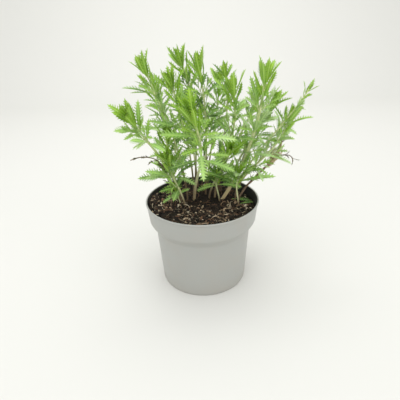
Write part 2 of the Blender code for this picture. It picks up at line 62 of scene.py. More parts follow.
# The pot's form, as in the solid model.
POT_HEIGHT = 130
BASE_RADIUS = 65
WALL_TOP_RADIUS = 70.2
SHOULDER_BOTTOM = 86
BAND_BOTTOM = 104
BAND_RADIUS = 79
RIM_RADIUS = 82.5
LIP_OVERHANG = 0.8
LIP_HEIGHT = 2
LIP_ROUNDS = (0.5, 0.9, 0.7)  # under the lip, over its edge, and into the pot
SHEET = 1.4
FOOT_CHAMFER = 1.5
FOOT_INNER = 56
FOOT_ROUND = 0.6
CHANNEL_OUTER = 53
CHANNEL_INNER = 21
CHANNEL_RISE = 3
PAD_RADIUS = 17
DRAIN_COUNT = 8
DRAIN_RADIUS = 4.5
DRAIN_CIRCLE = 42
DRILL_LENGTH = 12

# The soil's form, as in the solid model. A wave is radians per mm along X and Y, its start, and its share.
SOIL_TOP = 120
SOIL_EDGE_DROP = 3
SOIL_EDGE_START = 68
SOIL_LUMP = 1.3
SOIL_WAVES = ((0.14, 0.16, 0.6, 0.5), (0.09, 0.16, 0, 0.3), (0.27, -0.19, 1.6, 0.3), (-0.018, 0, 0, 2.2))
GAP = 0.3

# What the solid soil doesn't have. A place is a middle x and y, and a width.
HEAP = (-72, 12, 24)
HEAP_HEIGHT = 6.5
WET_SHADED_HOLLOW = (14, 22, 26)  # where the soil is wettest, and painted shade in the middle of the soil
HOLLOW_DARK = 0.85  # the share of its dry brown that it loses there, to wetness and painted shade
FINE_LUMPS = ((0.55, 7, 1), (0.4, 3.2, 2))  # height, length and seed
FINE_FADE = 4  # they fade out over this much before the wall
CRUMBS = ((1, 0.35, 1, 5, 2), (7, 0.9, 2.8, 7, 4))  # a share 1/n of them, sizes, points round, rings
CRUMB_REACH = 77
CRUMB_STRETCH = (0.55, 1.25)
CRUMB_DENTS = (0.72, 1.15)
CRUMB_RAISED = 0.25  # how far a crumb's middle is over the soil, as a share of its size
MOSTLY_SMALL = 1.6  # powers of an even draw from 0 to 1
MOSTLY_DARK = 3.6
STRAND_CURL = 0.9
STRAND_LIFT = 0.1
STRANDS = {  # lengths, radii, tones, rise in the middle, and how far out they lie
    "fibres": ((3, 11), (0.1, 0.28), (0.45, 0.95), (0, 1.2), 76),
    "chips": ((2, 10), (0.4, 1.05), (0.3, 1), (0, 1.6), 76),
    "rootlets": ((12, 26), (0.3, 0.55), (0.9, 1), (1, 4.5), 52),
}
FALLEN = ((45, 10, -6, 29), (56, -6, 20, 22))  # leaves on the soil: x, y, heading in degrees, length
FALLEN_RISE = 3
FALLEN_FACE = (0, -0.4, 0.9)

# The stems and leaves, as in the solid model.
STEM_SIDES = 4
STEM_STEPS = 7
ROOT_DEPTH = 14
TIP_SHARE = 0.6
DIRECTION_STEP = 0.01
STALK_SHARE = 0.13
STALK_HALF_WIDTH = 0.6
SUNK = 0.9
STAGGER = 1.2
WIDTH_SHARE = 0.215
OUTLINE_SKEW = 0.8
OUTLINE_FULLNESS = 0.75
TOOTH_LEAN = radians(40)
FOLD = 0.25
CROWN = ((7, 36, 0.88), (3.5, 22, 0.74), (0.8, 9, 0.57))  # depth under the tip, opening, size
CROWN_DEPTH = CROWN[0][0]
STRAY_TURN = 12
STRAY_OPENING = 6
STRAY_LENGTH = 0.08
STRAY_TWIST = 0.5
LIGHT = np.array([0, -1, 0])  # blades turn their upper side this way
LIGHT_TWIST = 0.75
OPEN_BEND = (0.35, 0.25)
UPRIGHT_BEND = (0.15, 0.2)
UPRIGHT_BELOW = 40
TURNS = (0, 14, -14, 28, -28, 42, -42)
OPENINGS = (0, 9, -9, 18, -18, 28)
SIZES = (1, 0.85, 0.7)
SAME_PLACE = 0.05  # a leaf's end lies this near to the solid's corner


class Shoot(NamedTuple):
    """One leafy stem: where it runs, and the leaf pairs that it carries."""

    name: str
    foot: tuple  # x, y where it leaves the soil
    middle: tuple
    tip: tuple
    radius: float
    pairs: int  # leaf pairs below the crown
    first: float  # share of the stem at which the first pair sits
    turn: float  # degrees from +X to the first pair
    crown: int  # leaf pairs at the tip
    lengths: tuple = (44, 40)  # leaf length of the lowest and the highest pair
    opening: tuple = (66, 48)  # degrees between leaf and stem, lowest and highest pair
    lean: tuple = (0, 0)  # x, y from the foot to the root end


SHOOTS = [Shoot(*row) for row in (
    ("stem_back", (-6, 58), (-14, 88, 194), (-20, 102, 246), 1.9, 3, 0.48, 40, 2),
    ("stem_back_left", (-24, 42), (-46, 60, 204), (-62, 72, 264), 2, 3, 0.48, 50, 2),
    ("stem_back_right", (28, 56), (60, 64, 200), (86, 72, 254), 2, 3, 0.48, 40, 2),
    ("stem_back_middle", (10, 62), (22, 70, 210), (30, 74, 280), 1.9, 3, 0.54, 35, 2),
    ("stem_tall_left", (-22, 12), (-40, 0, 232), (-66, 5, 303), 1.6, 3, 0.64, 10, 3),
    ("stem_low_left", (-32, 4), (-62, -26, 215), (-82, -46, 256), 2.2, 2, 0.76, -45, 3, (44, 40), (85, 32)),
    ("stem_mid_left", (-34, 20), (-43, 0, 180), (-44, -12, 222), 1.8, 2, 0.56, 30, 2),
    ("stem_upper_left", (-12, 24), (-19, -11, 225), (-32, -25, 288), 1.8, 3, 0.56, 80, 3),
    ("stem_top_left", (-10, 42), (-7, 17, 245), (-21, 15, 311), 1.8, 3, 0.6, 35, 3),
    ("stem_top_middle", (6, 32), (8, 2, 235), (1, -4, 305), 1.9, 3, 0.58, 40, 3),
    ("stem_front", (-12, 10), (0, -34, 205), (-9, -54, 256), 2.5, 3, 0.62, -5, 3, (46, 48), (92, 74)),
    ("stem_thin_right", (22, 46), (36, 27, 228), (36, 30, 296), 1.3, 2, 0.76, 30, 2, (34, 30)),
    ("stem_mid_right", (20, 22), (42, -8, 224), (42, -16, 278), 2, 3, 0.52, 60, 3),
    ("stem_thick", (32, 15), (68, -6, 214), (80, -20, 292), 3, 4, 0.34, 60, 3, (46, 43), (66, 24), (-9, 0)),
    ("stem_right", (42, 34), (72, 14, 212), (98, 15, 258), 1.9, 3, 0.54, 45, 2),
    ("stem_wide_right", (50, 10), (90, -4, 212), (142, 5, 278), 1.5, 3, 0.58, 80, 2, (26, 22)),
    ("stem_low_right", (52, 24), (84, -2, 186), (117, -2, 238), 1.8, 3, 0.5, 90, 2, (40, 44)),
    ("stem_inner_right", (11, 17), (28, -2, 172), (37, -18, 202), 1.8, 2, 0.52, 30, 2),
    ("stem_inner_left", (-25, -9), (-36, -17, 162), (-43, -24, 192), 1.7, 2, 0.52, 90, 2),
    ("shoot_right", (53, -8), (50, -9, 142), (52, -12, 168), 1.6, 1, 0.8, -14, 2, (54, 34), (62, 62)),
    ("shoot_middle", (26, 8), (22, 1, 143), (20, -4, 166), 1.6, 1, 0.72, -5, 2, (35, 28), (98, 60)),
    ("shoot_left", (-46, 12), (-46, 7, 150), (-47, 3, 176), 1.5, 1, 0.8, 0, 2, (44, 30), (80, 80)),
    ("shoot_low", (-32, -2), (-35, -6, 135), (-37, -9, 150), 1.3, 1, 0.72, 35, 2, (28, 22), (98, 98)),
)]

# The dry twigs' branches: the points that each runs by, and its radius at the two ends.
TWIGS = {
    "twig_right": (
        (((52, 4, 106), (54, 4, 122), (79, 4, 159), (101, 6, 182), (113, 8, 208)), 1.8, 1.2),
        (((99, 6, 179), (108, 4, 187), (119, 2, 190), (128, 1, 187), (129, 1, 181)), 0.8, 0.6),
        (((112, 8, 205), (118, 12, 225), (120, 14, 243)), 0.9, 0.5),
        (((96, 6, 175), (100, 10, 190), (99, 13, 206)), 0.9, 0.6),
    ),
    "twig_inner": (
        (((42, 22, 106), (42, 22, 122), (48, 18, 150), (58, 12, 178), (74, 4, 216)), 0.9, 0.6),
        (((59, 11, 182), (64, 13, 198), (66, 14, 208)), 0.7, 0.5),
    ),
    "twig_middle": (
        (((30, 32, 106), (30, 32, 122), (27, 26, 182), (31, 21, 212), (46, 20, 231)), 0.9, 0.6),
    ),
    "twig_left": (
        (((-46, -12, 106), (-46, -12, 122), (-50, -13, 178), (-67, -17, 200), (-93, -24, 198)), 1, 0.6),
    ),
    "twig_back": (
        (((0, 44, 106), (0, 44, 122), (6, 46, 170), (-2, 44, 216)), 1.1, 0.6),
        (((5, 46, 164), (16, 50, 186), (22, 52, 206)), 0.8, 0.5),
    ),
}
TWIG_RINGS = 60
TWIG_ROUGH = (0.08, 5)  # share of the radius, and length
TWIG_WOBBLE = (0.35, 16)  # height and length
KNOT_LENGTH = 1.1
KNOT_SWELL = 0.35
DRY_LEAVES_FROM = 0.35  # the share of a branch beyond which leaves hang on
DRY_OPENINGS = (10, 45)
DRY_LENGTHS = (8, 14)
DRY_BENDS = (0.3, 1.4)
FRAYED_FROM = 1.5  # the radius from which a dry twig's bark frays
STRIP_STARTS = (0.64, 0.78)  # shares of the twig
STRIP_LENGTHS = (0.1, 0.22)
STRIP_BOWS = (1, 7)
STRIP_RADII = (0.45, 1.15)
STRIP_TURNS = (0.5, 0.95)  # shares of half a turn: at 1 the strip's end would be back on the twig
STRIP_TAPER = 0.75

# The edge of a fine leaf: from each whole number of teeth a blunt lobe, and then a notch as far as the next.
# The teeth grow to their full depth over the first share of the blade.
NOTCH_YOUNG = 0.44
NOTCH_OLD = 0.38
TOOTH_TIP = 0.35
APEX_SPAN = 0.65
LENGTH_PER_TOOTH = 4.4
TEETH_RANGE = (3, 9)
FIRST_TEETH = 0.14
LEAST_TEETH = 0.25
TOOTH_UNEVEN = (0.78, 1.12)
STALK_PLACES = (0, 0.5)
BLADE_START = 0.06
RIB_GROOVE = 0.06
RIB_KEEL = 0.5
PUCKER = 0.05  # rise between veins, and slow wave of the edge, as shares of half a leaf's width
WAVE = 0.12
WAVE_COUNT = 1.4
FULL_THICKNESS_LENGTH = 30
PALE_FROM = 85  # leaves this far from the pot's middle are the palest; nearer the middle, painted shade darkens them


class LeafPlan(NamedTuple):
    """How finely a leaf is drawn.

    The ring round the blade runs from the left edge over the top to the right edge and back underneath. A
    place is a share of the way from one tooth's start to the next, and its reach is the lobe's share there.
    """

    lines: np.ndarray  # share of the way from the rib to the notches, with the hand as its sign
    levels: np.ndarray  # height over the blade's middle
    pucker: np.ndarray  # share of the rise between two veins
    places: tuple
    reaches: tuple
    apex_places: tuple


def leaf_plan(lines, thickness, pucker, places, reaches, apex_places):
    """A plan with these lines on each side of the rib, half the blade's thickness at each, and its pucker."""
    out = [*(-line for line in lines[::-1]), 0, *lines]
    top = [*thickness[::-1], thickness[0] - RIB_GROOVE, *thickness]
    under = [*(-level for level in thickness[::-1]), -RIB_KEEL, *(-level for level in thickness)]
    rise = [*pucker[::-1], 0, *pucker]
    rings = ([-1, *out, 1, *out[::-1]], [0, *top, 0, *under], [0, *rise, 0, *rise])
    return LeafPlan(*map(np.array, rings), places, reaches, apex_places)


# Each plan has the leaf length from which it is used, from the longest down.
LOBE = ((0, 0.15, 0.35, 0.56), (0, 0.88, 1, 0))
PLANS = (
    (26, leaf_plan((0.12, 0.6), (0.19, 0.14), (0.2, 1), *LOBE, (0, 0.35, 0.65, 0.88))),
    (13, leaf_plan((0.35,), (0.16,), (1,), *LOBE, (0, 0.4, 0.8))),
    (0, leaf_plan((0.35,), (0.16,), (1,), (0, 0.28, 0.54), (0, 1, 0), (0, 0.6))),
)

# Pairs of young leaves: share of the axis, where one below 0 lies under its foot, opening in degrees, and
# length as a share of the leaves beside them. The youngest bend in over the tip.
SIDE_PAIRS = ((0.25, 48, 1), (0.65, 36, 0.9), (1, 18, 0.7))
CROWN_PAIRS = (
    (-1.8, 52, 0.55),
    (-1, 42, 0.66),
    (-0.2, 32, 0.68),
    (0.3, 22, 0.62),
    (0.7, 12, 0.55),
    (1, 5, 0.48),
)
SIDE_BENDS = (0.1, 0.5)
CROWN_BENDS = (-0.75, -0.15)
SIDE_LEANS = (0.35, 0.75)  # of a side shoot outwards, and below it how far it strays to a side
SIDE_STRAY = 0.3
SIDE_RADII = (0.75, 0.4)  # of its stalk
SIDE_AGE = 0.2
SIDE_REACHES = (0.4, 0.7)  # shares of its leaves' length
SIDE_SIZES = (0.85, 1.15)
SIDE_FOOT = (0.4, 0.8)  # out by a share of the stem's radius, and up
GROWN_AGE = 0.35  # ages run from young 0 to old 1: this below the crown, and more with the way down
AGE_RANGE = 1.4
AGE_DRAW = 0.2
PAIR_MARGIN = 0.01  # a share of the stem that is more than the stagger of a pair
YOUNG_OPENING = 8  # how far young leaves stray
YOUNG_LENGTHS = (0.82, 1.12)
YOUNG_TWIST = 0.4
YOUNG_TURN = 0.35
PAIR_LENGTH = 1.8  # a stem's swelling at a leaf pair: its length and its share of the radius
PAIR_SWELL = 0.28
STEM_POINTS = 16  # round a stem
SECTION = (0.86, 0.13)  # of a stem with blunt corners: its mean radius, and how far the corners stand out
WOODY_RADII = (3, 1.8)  # a stem of the first radius is pale at the foot, and one under the second brown


def unit(vectors):
    return vectors / np.linalg.norm(vectors, axis=-1, keepdims=True)


def length_of(line):
    return float(np.linalg.norm(np.diff(line, axis=0), axis=1).sum())


def eased(share):
    """0 to 1 with level ends: 3 s squared less 2 s cubed."""
    share = np.clip(share, 0, 1)
    return share * share * (3 - 2 * share)


def circle(count):
    """Angles evenly spread over a full turn."""
    return tau * np.arange(count) / count


def spoke(first, second, angle):
    """The unit vector at an angle from one of two square unit vectors towards the other."""
    return cos(angle) * first + sin(angle) * second


def square_axes(direction, reference=(1, 0, 0)):
    """The two unit vectors across each direction: the first as near the reference as can be."""
    direction = unit(direction)
    across = unit(reference - (direction @ reference)[..., None] * direction)
    return across, np.cross(direction, across)


def curve_through(points):
    """A function of a share 0 to 1 that runs a smooth line through the points: a cubic by their spacing."""
    points = np.asarray(points, float)
    reach = np.r_[0, np.cumsum(np.linalg.norm(np.diff(points, axis=0), axis=1))]
    cubic = np.polyfit(reach / reach[-1], points, min(3, len(points) - 1))
    powers = np.arange(len(cubic))[::-1]
    return lambda share: (np.atleast_1d(share)[:, None] ** powers) @ cubic


class Stem:
    """A shoot's stem from its root end to its tip: a smooth curve, and the solid's straight stretches."""

    def __init__(self, shoot):
        x, y = shoot.foot
        root = (x + shoot.lean[0], y + shoot.lean[1], SOIL_TOP - ROOT_DEPTH)
        self.shoot = shoot
        self.shares = np.linspace(0, 1, STEM_STEPS)
        self.curve = curve_through([root, (x, y, SOIL_TOP), shoot.middle, shoot.tip])
        self.line = self.curve(self.shares)
        self.length = length_of(self.line)
        self.crown_foot = 1 - CROWN_DEPTH / self.length

    def radius(self, share):
        """The radius falls evenly from the root end to the tip."""
        return self.shoot.radius * (1 - (1 - TIP_SHARE) * share)

    def frame(self, share):
        """The point on the drawn line, the direction and the two cross directions at a share of it."""
        point = np.array([np.interp(share, self.shares, column) for column in self.line.T])
        before, after = self.curve([share - DIRECTION_STEP, share + DIRECTION_STEP])
        along = unit(after - before)
        return point, along, *square_axes(along)


class Leaf(NamedTuple):
    origin: np.ndarray  # near the stem's axis
    along: np.ndarray  # the way the rib sets out
    face: np.ndarray  # the upper side there
    length: float
    bend: float  # radians that the rib turns towards its underside
    twist: float  # radians that the blade turns about its rib


def leaf_from(origin, axis, outward, opening, length, bend, twist):
    """A leaf that opens from an axis by some degrees, with its upper side to the axis and to the light."""
    tilt = radians(opening)
    twist += LIGHT_TWIST * (np.cross(axis, outward) @ LIGHT)
    return Leaf(origin, spoke(axis, outward, tilt), spoke(-outward, axis, tilt), length, bend, twist)


def rib_frame(leaf, share):
    """Points, tangents, sides and upper normals of the rib, which is an arc of leaf.bend.

    The sides and normals turn evenly about the rib, from level at its root to leaf.twist at its end.
    """
    share = np.atleast_1d(share)[:, None]
    angle, turn = leaf.bend * share, leaf.twist * share
    run, drop = np.sin(angle) / leaf.bend, (1 - np.cos(angle)) / leaf.bend
    points = leaf.origin + leaf.length * (run * leaf.along - drop * leaf.face)
    tangents = np.cos(angle) * leaf.along - np.sin(angle) * leaf.face
    normals = np.cos(angle) * leaf.face + np.sin(angle) * leaf.along
    level = np.cross(leaf.along, leaf.face)
    sides = np.cos(turn) * level + np.sin(turn) * normals
    return points, tangents, sides, np.cos(turn) * normals - np.sin(turn) * level


def leaf_pairs(stem):
    """Each pair's share of the stem, leaf length, opening and turn, from the lowest up to the crown."""
    shoot, pairs = stem.shoot, []
    for step in range(shoot.pairs):
        up = step / max(shoot.pairs - 1, 1)
        share = shoot.first + (stem.crown_foot - shoot.first) * step / shoot.pairs
        pairs.append((share, *(low + (high - low) * up for low, high in (shoot.lengths, shoot.opening))))
    for depth, opening, size in CROWN[: shoot.crown]:
        pairs.append((1 - depth / stem.length, size * shoot.lengths[1], opening))
    return [(*pair, shoot.turn + 90 * step) for step, pair in enumerate(pairs)]


def leaf_on(stem, share, length, opening, turn, sway):
    """A function that places a leaf of the stem, given a further turn and opening and a size."""
    point, along, across, deep = stem.frame(share)
    inset = max(stem.radius(share) * cos(pi / STEM_SIDES) - SUNK, 0)
    middle_bend, stray_bend = OPEN_BEND if opening > UPRIGHT_BELOW else UPRIGHT_BEND

    def place(more_turn, more_opening, size):
        outward = spoke(across, deep, radians(turn + STRAY_TURN * sway[0] + more_turn))
        tilt = opening + STRAY_OPENING * sway[1] + more_opening
        reach = length * size * (1 + STRAY_LENGTH * sway[2])
        bend = middle_bend + stray_bend * sway[3]
        return leaf_from(point + inset * outward, along, outward, tilt, reach, bend, STRAY_TWIST * sway[4])

    return place


def standing_leaves(stem, seed):
    """The leaves of the solid stem, each with its share of the stem, from the lowest pair up.

    The solid has a corner at each leaf's end, so the leaf that stands there is the one, out of all the places
    that it may have been moved to, whose end is one of the solid's corners.
    """
    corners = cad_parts[stem.shoot.name].data.vertices
    tree = KDTree(len(corners))
    for index, corner in enumerate(corners):
        tree.insert(corner.co / MM, index)
    tree.balance()
    chance = np.random.default_rng(seed)
    found = []
    for (share, length, opening, turn), side in itertools.product(leaf_pairs(stem), (-0.5, 0.5)):
        own_share = share + side * STAGGER / stem.length
        place = leaf_on(stem, own_share, length, opening, turn + 180 * (side < 0), chance.uniform(-1, 1, 5))
        for size, more_turn, more_opening in itertools.product(SIZES, TURNS, OPENINGS):
            leaf = place(more_turn, more_opening, size)
            if tree.find(rib_frame(leaf, 1)[0][0])[2] < SAME_PLACE:
                found.append((own_share, leaf))
                break
    if not found:
        raise RuntimeError(f"no leaf of {stem.shoot.name} stands where the solid has a leaf's end")
    return found


def show(name, data, matrix=Matrix()):
    """Puts a mesh, a lamp or a camera into the scene."""
    obj = bpy.data.objects.new(name, data)
    obj.matrix_world = matrix
    bpy.context.scene.collection.objects.link(obj)
    return obj


class Mesh:
    """Surfaces gathered into one mesh, with the values at its points that the materials read."""

    def __init__(self):
        self.points, self.faces, self.finishes, self.values = [], [], [], {}
        self.count = 0

    def add(self, points, faces, finish=0, **values):
        """Adds a surface whose faces are arrays of triangles or quads.

        finish is the material's number, one for all or one for each array, and a value is one for all the
        points or one for each.
        """
        points = points.reshape(-1, 3)
        for group, number in zip(faces, np.broadcast_to(finish, len(faces))):
            self.faces += (group + self.count).tolist()
            self.finishes += [number] * len(group)
        for name, value in values.items():
            self.values.setdefault(name, []).append((self.count, np.broadcast_to(value, len(points))))
        self.points.append(points)
        self.count += len(points)

    def add_tube(self, path, radii, angles, finish=0, swell=1, **values):
        """Adds one tube, whose values are one for all or one for each ring."""
        for name, value in values.items():
            if np.ndim(value):
                values[name] = by_ring(value, len(angles))
        points, faces = tubes(path[None], radii[None], angles, swell)
        self.add(points, faces, finish, **values)

    def build(self, name, materials, sharp=60):
        """The object, in metres, shaded smooth up to an angle in degrees between its faces."""
        mesh = bpy.data.meshes.new(name)
        mesh.from_pydata(np.concatenate(self.points) * MM, [], self.faces)
        mesh.polygons.foreach_set("material_index", np.array(self.finishes, np.int32))
        for label, spreads in self.values.items():
            column = np.zeros(self.count, np.float32)
            for start, spread in spreads:
                column[start : start + len(spread)] = spread
            mesh.attributes.new(label, "FLOAT", "POINT").data.foreach_set("value", column)
        mesh.shade_smooth()
        mesh.set_sharp_from_angle(angle=radians(sharp))
        for material in materials:
            mesh.materials.append(material)
        return show(name, mesh)


def ring_body(rows, columns):
    """The faces of rings of points with a pole at each end, where the two poles follow the rings."""
    index = np.arange(rows * columns).reshape(rows, columns)
    after = np.roll(index, -1, axis=1)
    pole = np.full(columns, rows * columns)
    walls = np.stack([index[:-1], after[:-1], after[1:], index[1:]], axis=-1).reshape(-1, 4)
    first = np.stack([after[0], index[0], pole], axis=-1)
    last = np.stack([index[-1], after[-1], pole + 1], axis=-1)
    return walls, first, last


def by_ring(values, columns):
    """A value for each point of such a body, from one for each ring."""
    return np.r_[np.repeat(values, columns), values[0], values[-1]]


def copies(faces, points_each, count):
    """The faces of many copies of a shape whose points follow each other."""
    starts = points_each * np.arange(count)
    return [(group[None] + starts[:, None, None]).reshape(-1, group.shape[1]) for group in faces]


def tubes(paths, radii, angles, swell=1, reference=(1, 0, 0)):
    """Points and faces of closed tubes along paths, an array of (tube, step, coordinate).

    A ring's point is the path's point, plus the radius times the cosine of its angle along the direction
    across the path that is nearest to the reference, plus the radius times the sine along the other. swell is
    each angle's share of the radius, for a section that isn't round.
    """
    across, deep = (axis[:, :, None] for axis in square_axes(np.gradient(paths, axis=1), reference))
    cosines, sines = (np.cos(angles) * swell)[:, None], (np.sin(angles) * swell)[:, None]
    rings = paths[:, :, None] + radii[:, :, None, None] * (cosines * across + sines * deep)
    count, steps, sides = rings.shape[:3]
    points = np.concatenate([rings.reshape(count, -1, 3), paths[:, :1], paths[:, -1:]], axis=1)
    return points, copies(ring_body(steps, sides), points.shape[1], count)


def turned(profile, steps):
    """Points and faces of a closed profile of (radius, height), turned round Z; its ends lie on the axis.

    A point at angle a is (radius cos a, radius sin a, height).
    """
    radius, height = profile[1:-1, :1], profile[1:-1, 1:]
    angles = circle(steps)
    rings = np.stack([radius * np.cos(angles), radius * np.sin(angles), height + 0 * angles], axis=-1)
    poles = [(0, 0, profile[0, 1]), (0, 0, profile[-1, 1])]
    return np.concatenate([rings.reshape(-1, 3), poles]), ring_body(len(radius), steps)


def waves(points, size, seed, count=14):
    """Smooth random heights of about -1 to 1: sines of about this length, in random directions."""
    chance = np.random.default_rng(seed)
    directions = chance.normal(size=(count, points.shape[-1]))
    directions *= (chance.uniform(0.7, 1.4, count) / np.linalg.norm(directions, axis=1))[:, None]
    starts = chance.uniform(0, tau, count)
    return np.sin(points @ directions.T * (tau / size) + starts).sum(axis=-1) / count**0.5


class Wire:
    """A value that a shader works out at each point. Arithmetic on it adds Math nodes."""

    def __init__(self, finish, socket):
        self.finish = finish
        self.socket = socket

    def maths(self, operation, *values):
        return self.finish.node("ShaderNodeMath", dict(enumerate(values)), operation=operation)

    def __add__(self, other):
        return self.maths("ADD", self, other)

    def __sub__(self, other):
        return self.maths("SUBTRACT", self, other)

    def __mul__(self, other):
        return self.maths("MULTIPLY", self, other)

    def __rsub__(self, other):
        return self.maths("SUBTRACT", other, self)

    def __abs__(self):
        return self.maths("ABSOLUTE", self)

    __radd__ = __add__
    __rmul__ = __mul__

    def part(self):
        """What is left over whole numbers."""
        return self.maths("FRACT", self)

    def over(self, other):
        """The larger of the two."""
        return self.maths("MAXIMUM", self, other)

    def step(self, low, high):
        """0 below low, 1 above high, and eased between them; the other way round where high is lower."""
        if low > high:
            return 1 - self.step(high, low)
        sockets = {"Value": self, "From Min": low, "From Max": high}
        return self.finish.node("ShaderNodeMapRange", sockets, interpolation_type="SMOOTHSTEP")


MIX_SHARE, MIX_UNDER, MIX_OVER, MIX_RESULT = 0, 6, 7, 2  # a Mix node's sockets for colours


class Finish:
    """A material, with one method that adds any node and short ones for those that are used often."""

    def __init__(self, name, **constants):
        self.material = bpy.data.materials.new(name)
        self.material.use_nodes = True
        self.tree = self.material.node_tree
        self.tree.nodes.clear()
        self.shader = self.tree.nodes.new("ShaderNodeBsdfPrincipled")
        self.feed(self.shader, {label.replace("_", " "): value for label, value in constants.items()})
        output = self.tree.nodes.new("ShaderNodeOutputMaterial")
        self.tree.links.new(self.shader.outputs[0], output.inputs["Surface"])

    def feed(self, node, sockets):
        """Gives a node's sockets their values or wires."""
        for key, value in sockets.items():
            socket = node.inputs[key]
            if isinstance(value, Wire):
                self.tree.links.new(value.socket, socket)
            else:
                socket.default_value = (*value, 1) if socket.type == "RGBA" else value

    def node(self, kind, sockets=None, output=0, stops=(), **settings):
        """Adds a node of a kind: its settings and a ramp's stops first, then its sockets' values or wires."""
        node = self.tree.nodes.new(kind)
        for key, value in settings.items():
            setattr(node, key, value)
        for number, (place, colour) in enumerate(stops):
            if number == len(node.color_ramp.elements):
                node.color_ramp.elements.new(1)
            node.color_ramp.elements[number].position = place
            node.color_ramp.elements[number].color = (*colour, 1)
        self.feed(node, sockets or {})
        return Wire(self, node.outputs[output])

    def value(self, name):
        """A value that the mesh holds at its points."""
        return self.node("ShaderNodeAttribute", output="Fac", attribute_name=name)

    def place(self, rise=1):
        """The point on the object in millimetres, with its height times a share."""
        point = self.node("ShaderNodeTexCoord", output="Object")
        return self.node("ShaderNodeMapping", {"Vector": point, "Scale": (1 / MM, 1 / MM, rise / MM)})

    def noise(self, size, detail=3, roughness=0.5, rise=1):
        """Cloudy noise from 0 to 1, of a size in millimetres, that is drawn out in height by a low rise."""
        sockets = {"Vector": self.place(rise), "Scale": 1 / size, "Detail": detail, "Roughness": roughness}
        return self.node("ShaderNodeTexNoise", sockets)

    def layers(self, colour, *above):
        """A colour with others laid over it in order, each with the share of it that shows."""
        for other, share in above:
            sockets = {MIX_SHARE: share, MIX_UNDER: colour, MIX_OVER: other}
            colour = self.node("ShaderNodeMix", sockets, MIX_RESULT, data_type="RGBA")
        return colour

    def coat(self, colour, roughness, height, depth, strength):
        """The finished material, where a height between 0 and 1 stands for a depth in millimetres."""
        normal = self.node("ShaderNodeBump", {"Height": height, "Distance": depth * MM, "Strength": strength})
        self.feed(self.shader, {"Base Color": colour, "Roughness": roughness, "Normal": normal})
        return self.material


def leaf_finish(look, name="sage_leaf"):
    """Green blades: paler veins along the lines that the mesh numbers, and a downy grey-green underside."""
    glow = {"Subsurface_Weight": look.glow, "Subsurface_Radius": (0.6, 1, 0.3), "Subsurface_Scale": MM}
    finish = Finish(name, Specular_IOR_Level=0.18, **glow)
    age, tone, under, across, vein = map(finish.value, ("age", "tone", "under", "across", "vein"))
    across = abs(across)
    from_vein = abs((vein - TOOTH_TIP + 0.5).part() - 0.5)
    veins = from_vein.step(0.1, 0.02) * across.step(0.95, 0.2)
    rib = across.step(0.1, 0.03)
    cloud = finish.noise(7)
    fine = finish.noise(0.7, detail=2)
    # Painted shade in the notches between the lobes.
    notches = from_vein.step(0.13, 0.33) * across.step(0.08, 0.45)
    upper = finish.layers(
        look.young,
        (look.old, age),
        # Painted shade: old leaves of high tone, most of them in the middle of the bush, take the shade
        # colour.
        (look.shade, tone.step(0.46, 0.82) * age.step(0, 0.4) * 0.9),
        (look.downy, tone.step(0.42, 0.08) * age.step(0.1, 0.5) * 0.8),
        (look.sunny, cloud.step(0.42, 0.72) * (0.5 - age * 0.25)),
        # Painted shade in the notches.
        (look.shade, notches * 0.85),
        # Painted shade along the thin edges and teeth.
        (look.edge, across.step(0.62, 0.95) * 0.65),
    )
    lower = finish.layers(look.underside, (upper, age.step(0.6, 0.1) * 0.6 + 0.25))
    colour = finish.layers(upper, (lower, under), (look.vein, (veins * 0.22).over(rib * 0.55)))
    relief = (1 - (veins * 0.55).over(rib * 0.8)) * 0.75 + fine * 0.25
    return finish.coat(colour, 0.48 + fine * 0.12 + under * 0.17, relief, depth=0.25, strength=0.6)


def stem_finish(look):
    """Square green stems that are pale with down, and woody at the foot."""
    finish = Finish("sage_stem", Specular_IOR_Level=0.35, Sheen_Weight=0.2, Sheen_Roughness=0.5)
    age, tone = finish.value("age"), finish.value("tone")
    streaks = finish.noise(1.2, roughness=0.6, rise=0.12)
    specks = finish.noise(0.8, detail=2)
    fresh = finish.layers(look.fresh, (look.pale, (streaks + age * 0.3).step(0.4, 0.75) * 0.9))
    woody = finish.layers(look.woody, (look.bark, (specks * 0.4 + tone * 0.6).step(0.3, 0.55) * 0.9))
    foot = (age + (tone - 0.5) * 0.15 + (streaks - 0.5) * 0.3).step(0.55, 0.85)
    colour = finish.layers(fresh, (woody, foot))
    return finish.coat(colour, 0.55 + specks * 0.2, streaks * 0.6 + specks * 0.4, depth=0.15, strength=0.5)


def wood_finish(look):
    """Dry wood: brown bark with paler fibres along it."""
    finish = Finish("dry_twig", Specular_IOR_Level=0.3)
    age = finish.value("age")
    streaks = finish.noise(0.9, detail=4, roughness=0.6, rise=0.2)
    specks = finish.noise(0.6, detail=2)
    pale = (streaks * 0.7 + specks * 0.3).step(0.46, 0.66).over(finish.value("tone") * (1 - age))
    colour = finish.layers(look.bark, (look.fibre, pale), (look.tip, age.step(0.35, 0) * 0.25))
    return finish.coat(colour, 0.72 + specks * 0.15, streaks, depth=0.2, strength=0.7)


def dry_leaf_finish(look):
    """Shrivelled leaves: olive brown."""
    finish = Finish("shrivelled_leaf", Specular_IOR_Level=0.3)
    cloud = finish.noise(2)
    colour = finish.layers(look.leaf, (look.fibre, cloud.step(0.45, 0.8) * 0.6))
    return finish.coat(colour, 0.7 + cloud * 0.2, cloud, depth=0.3, strength=0.5)


def strip_finish(look):
    """Strips of bast and bark: from straw to brown."""
    finish = Finish("frayed_bark", Specular_IOR_Level=0.3)
    streaks = finish.noise(0.8, roughness=0.6, rise=0.2)
    brown = (finish.value("tone") * 0.7 + streaks * 0.3).step(0.5, 0.95)
    colour = finish.layers(look.bast, (look.fibre, brown))
    return finish.coat(colour, 0.65 + streaks * 0.2, streaks, depth=0.2, strength=0.6)


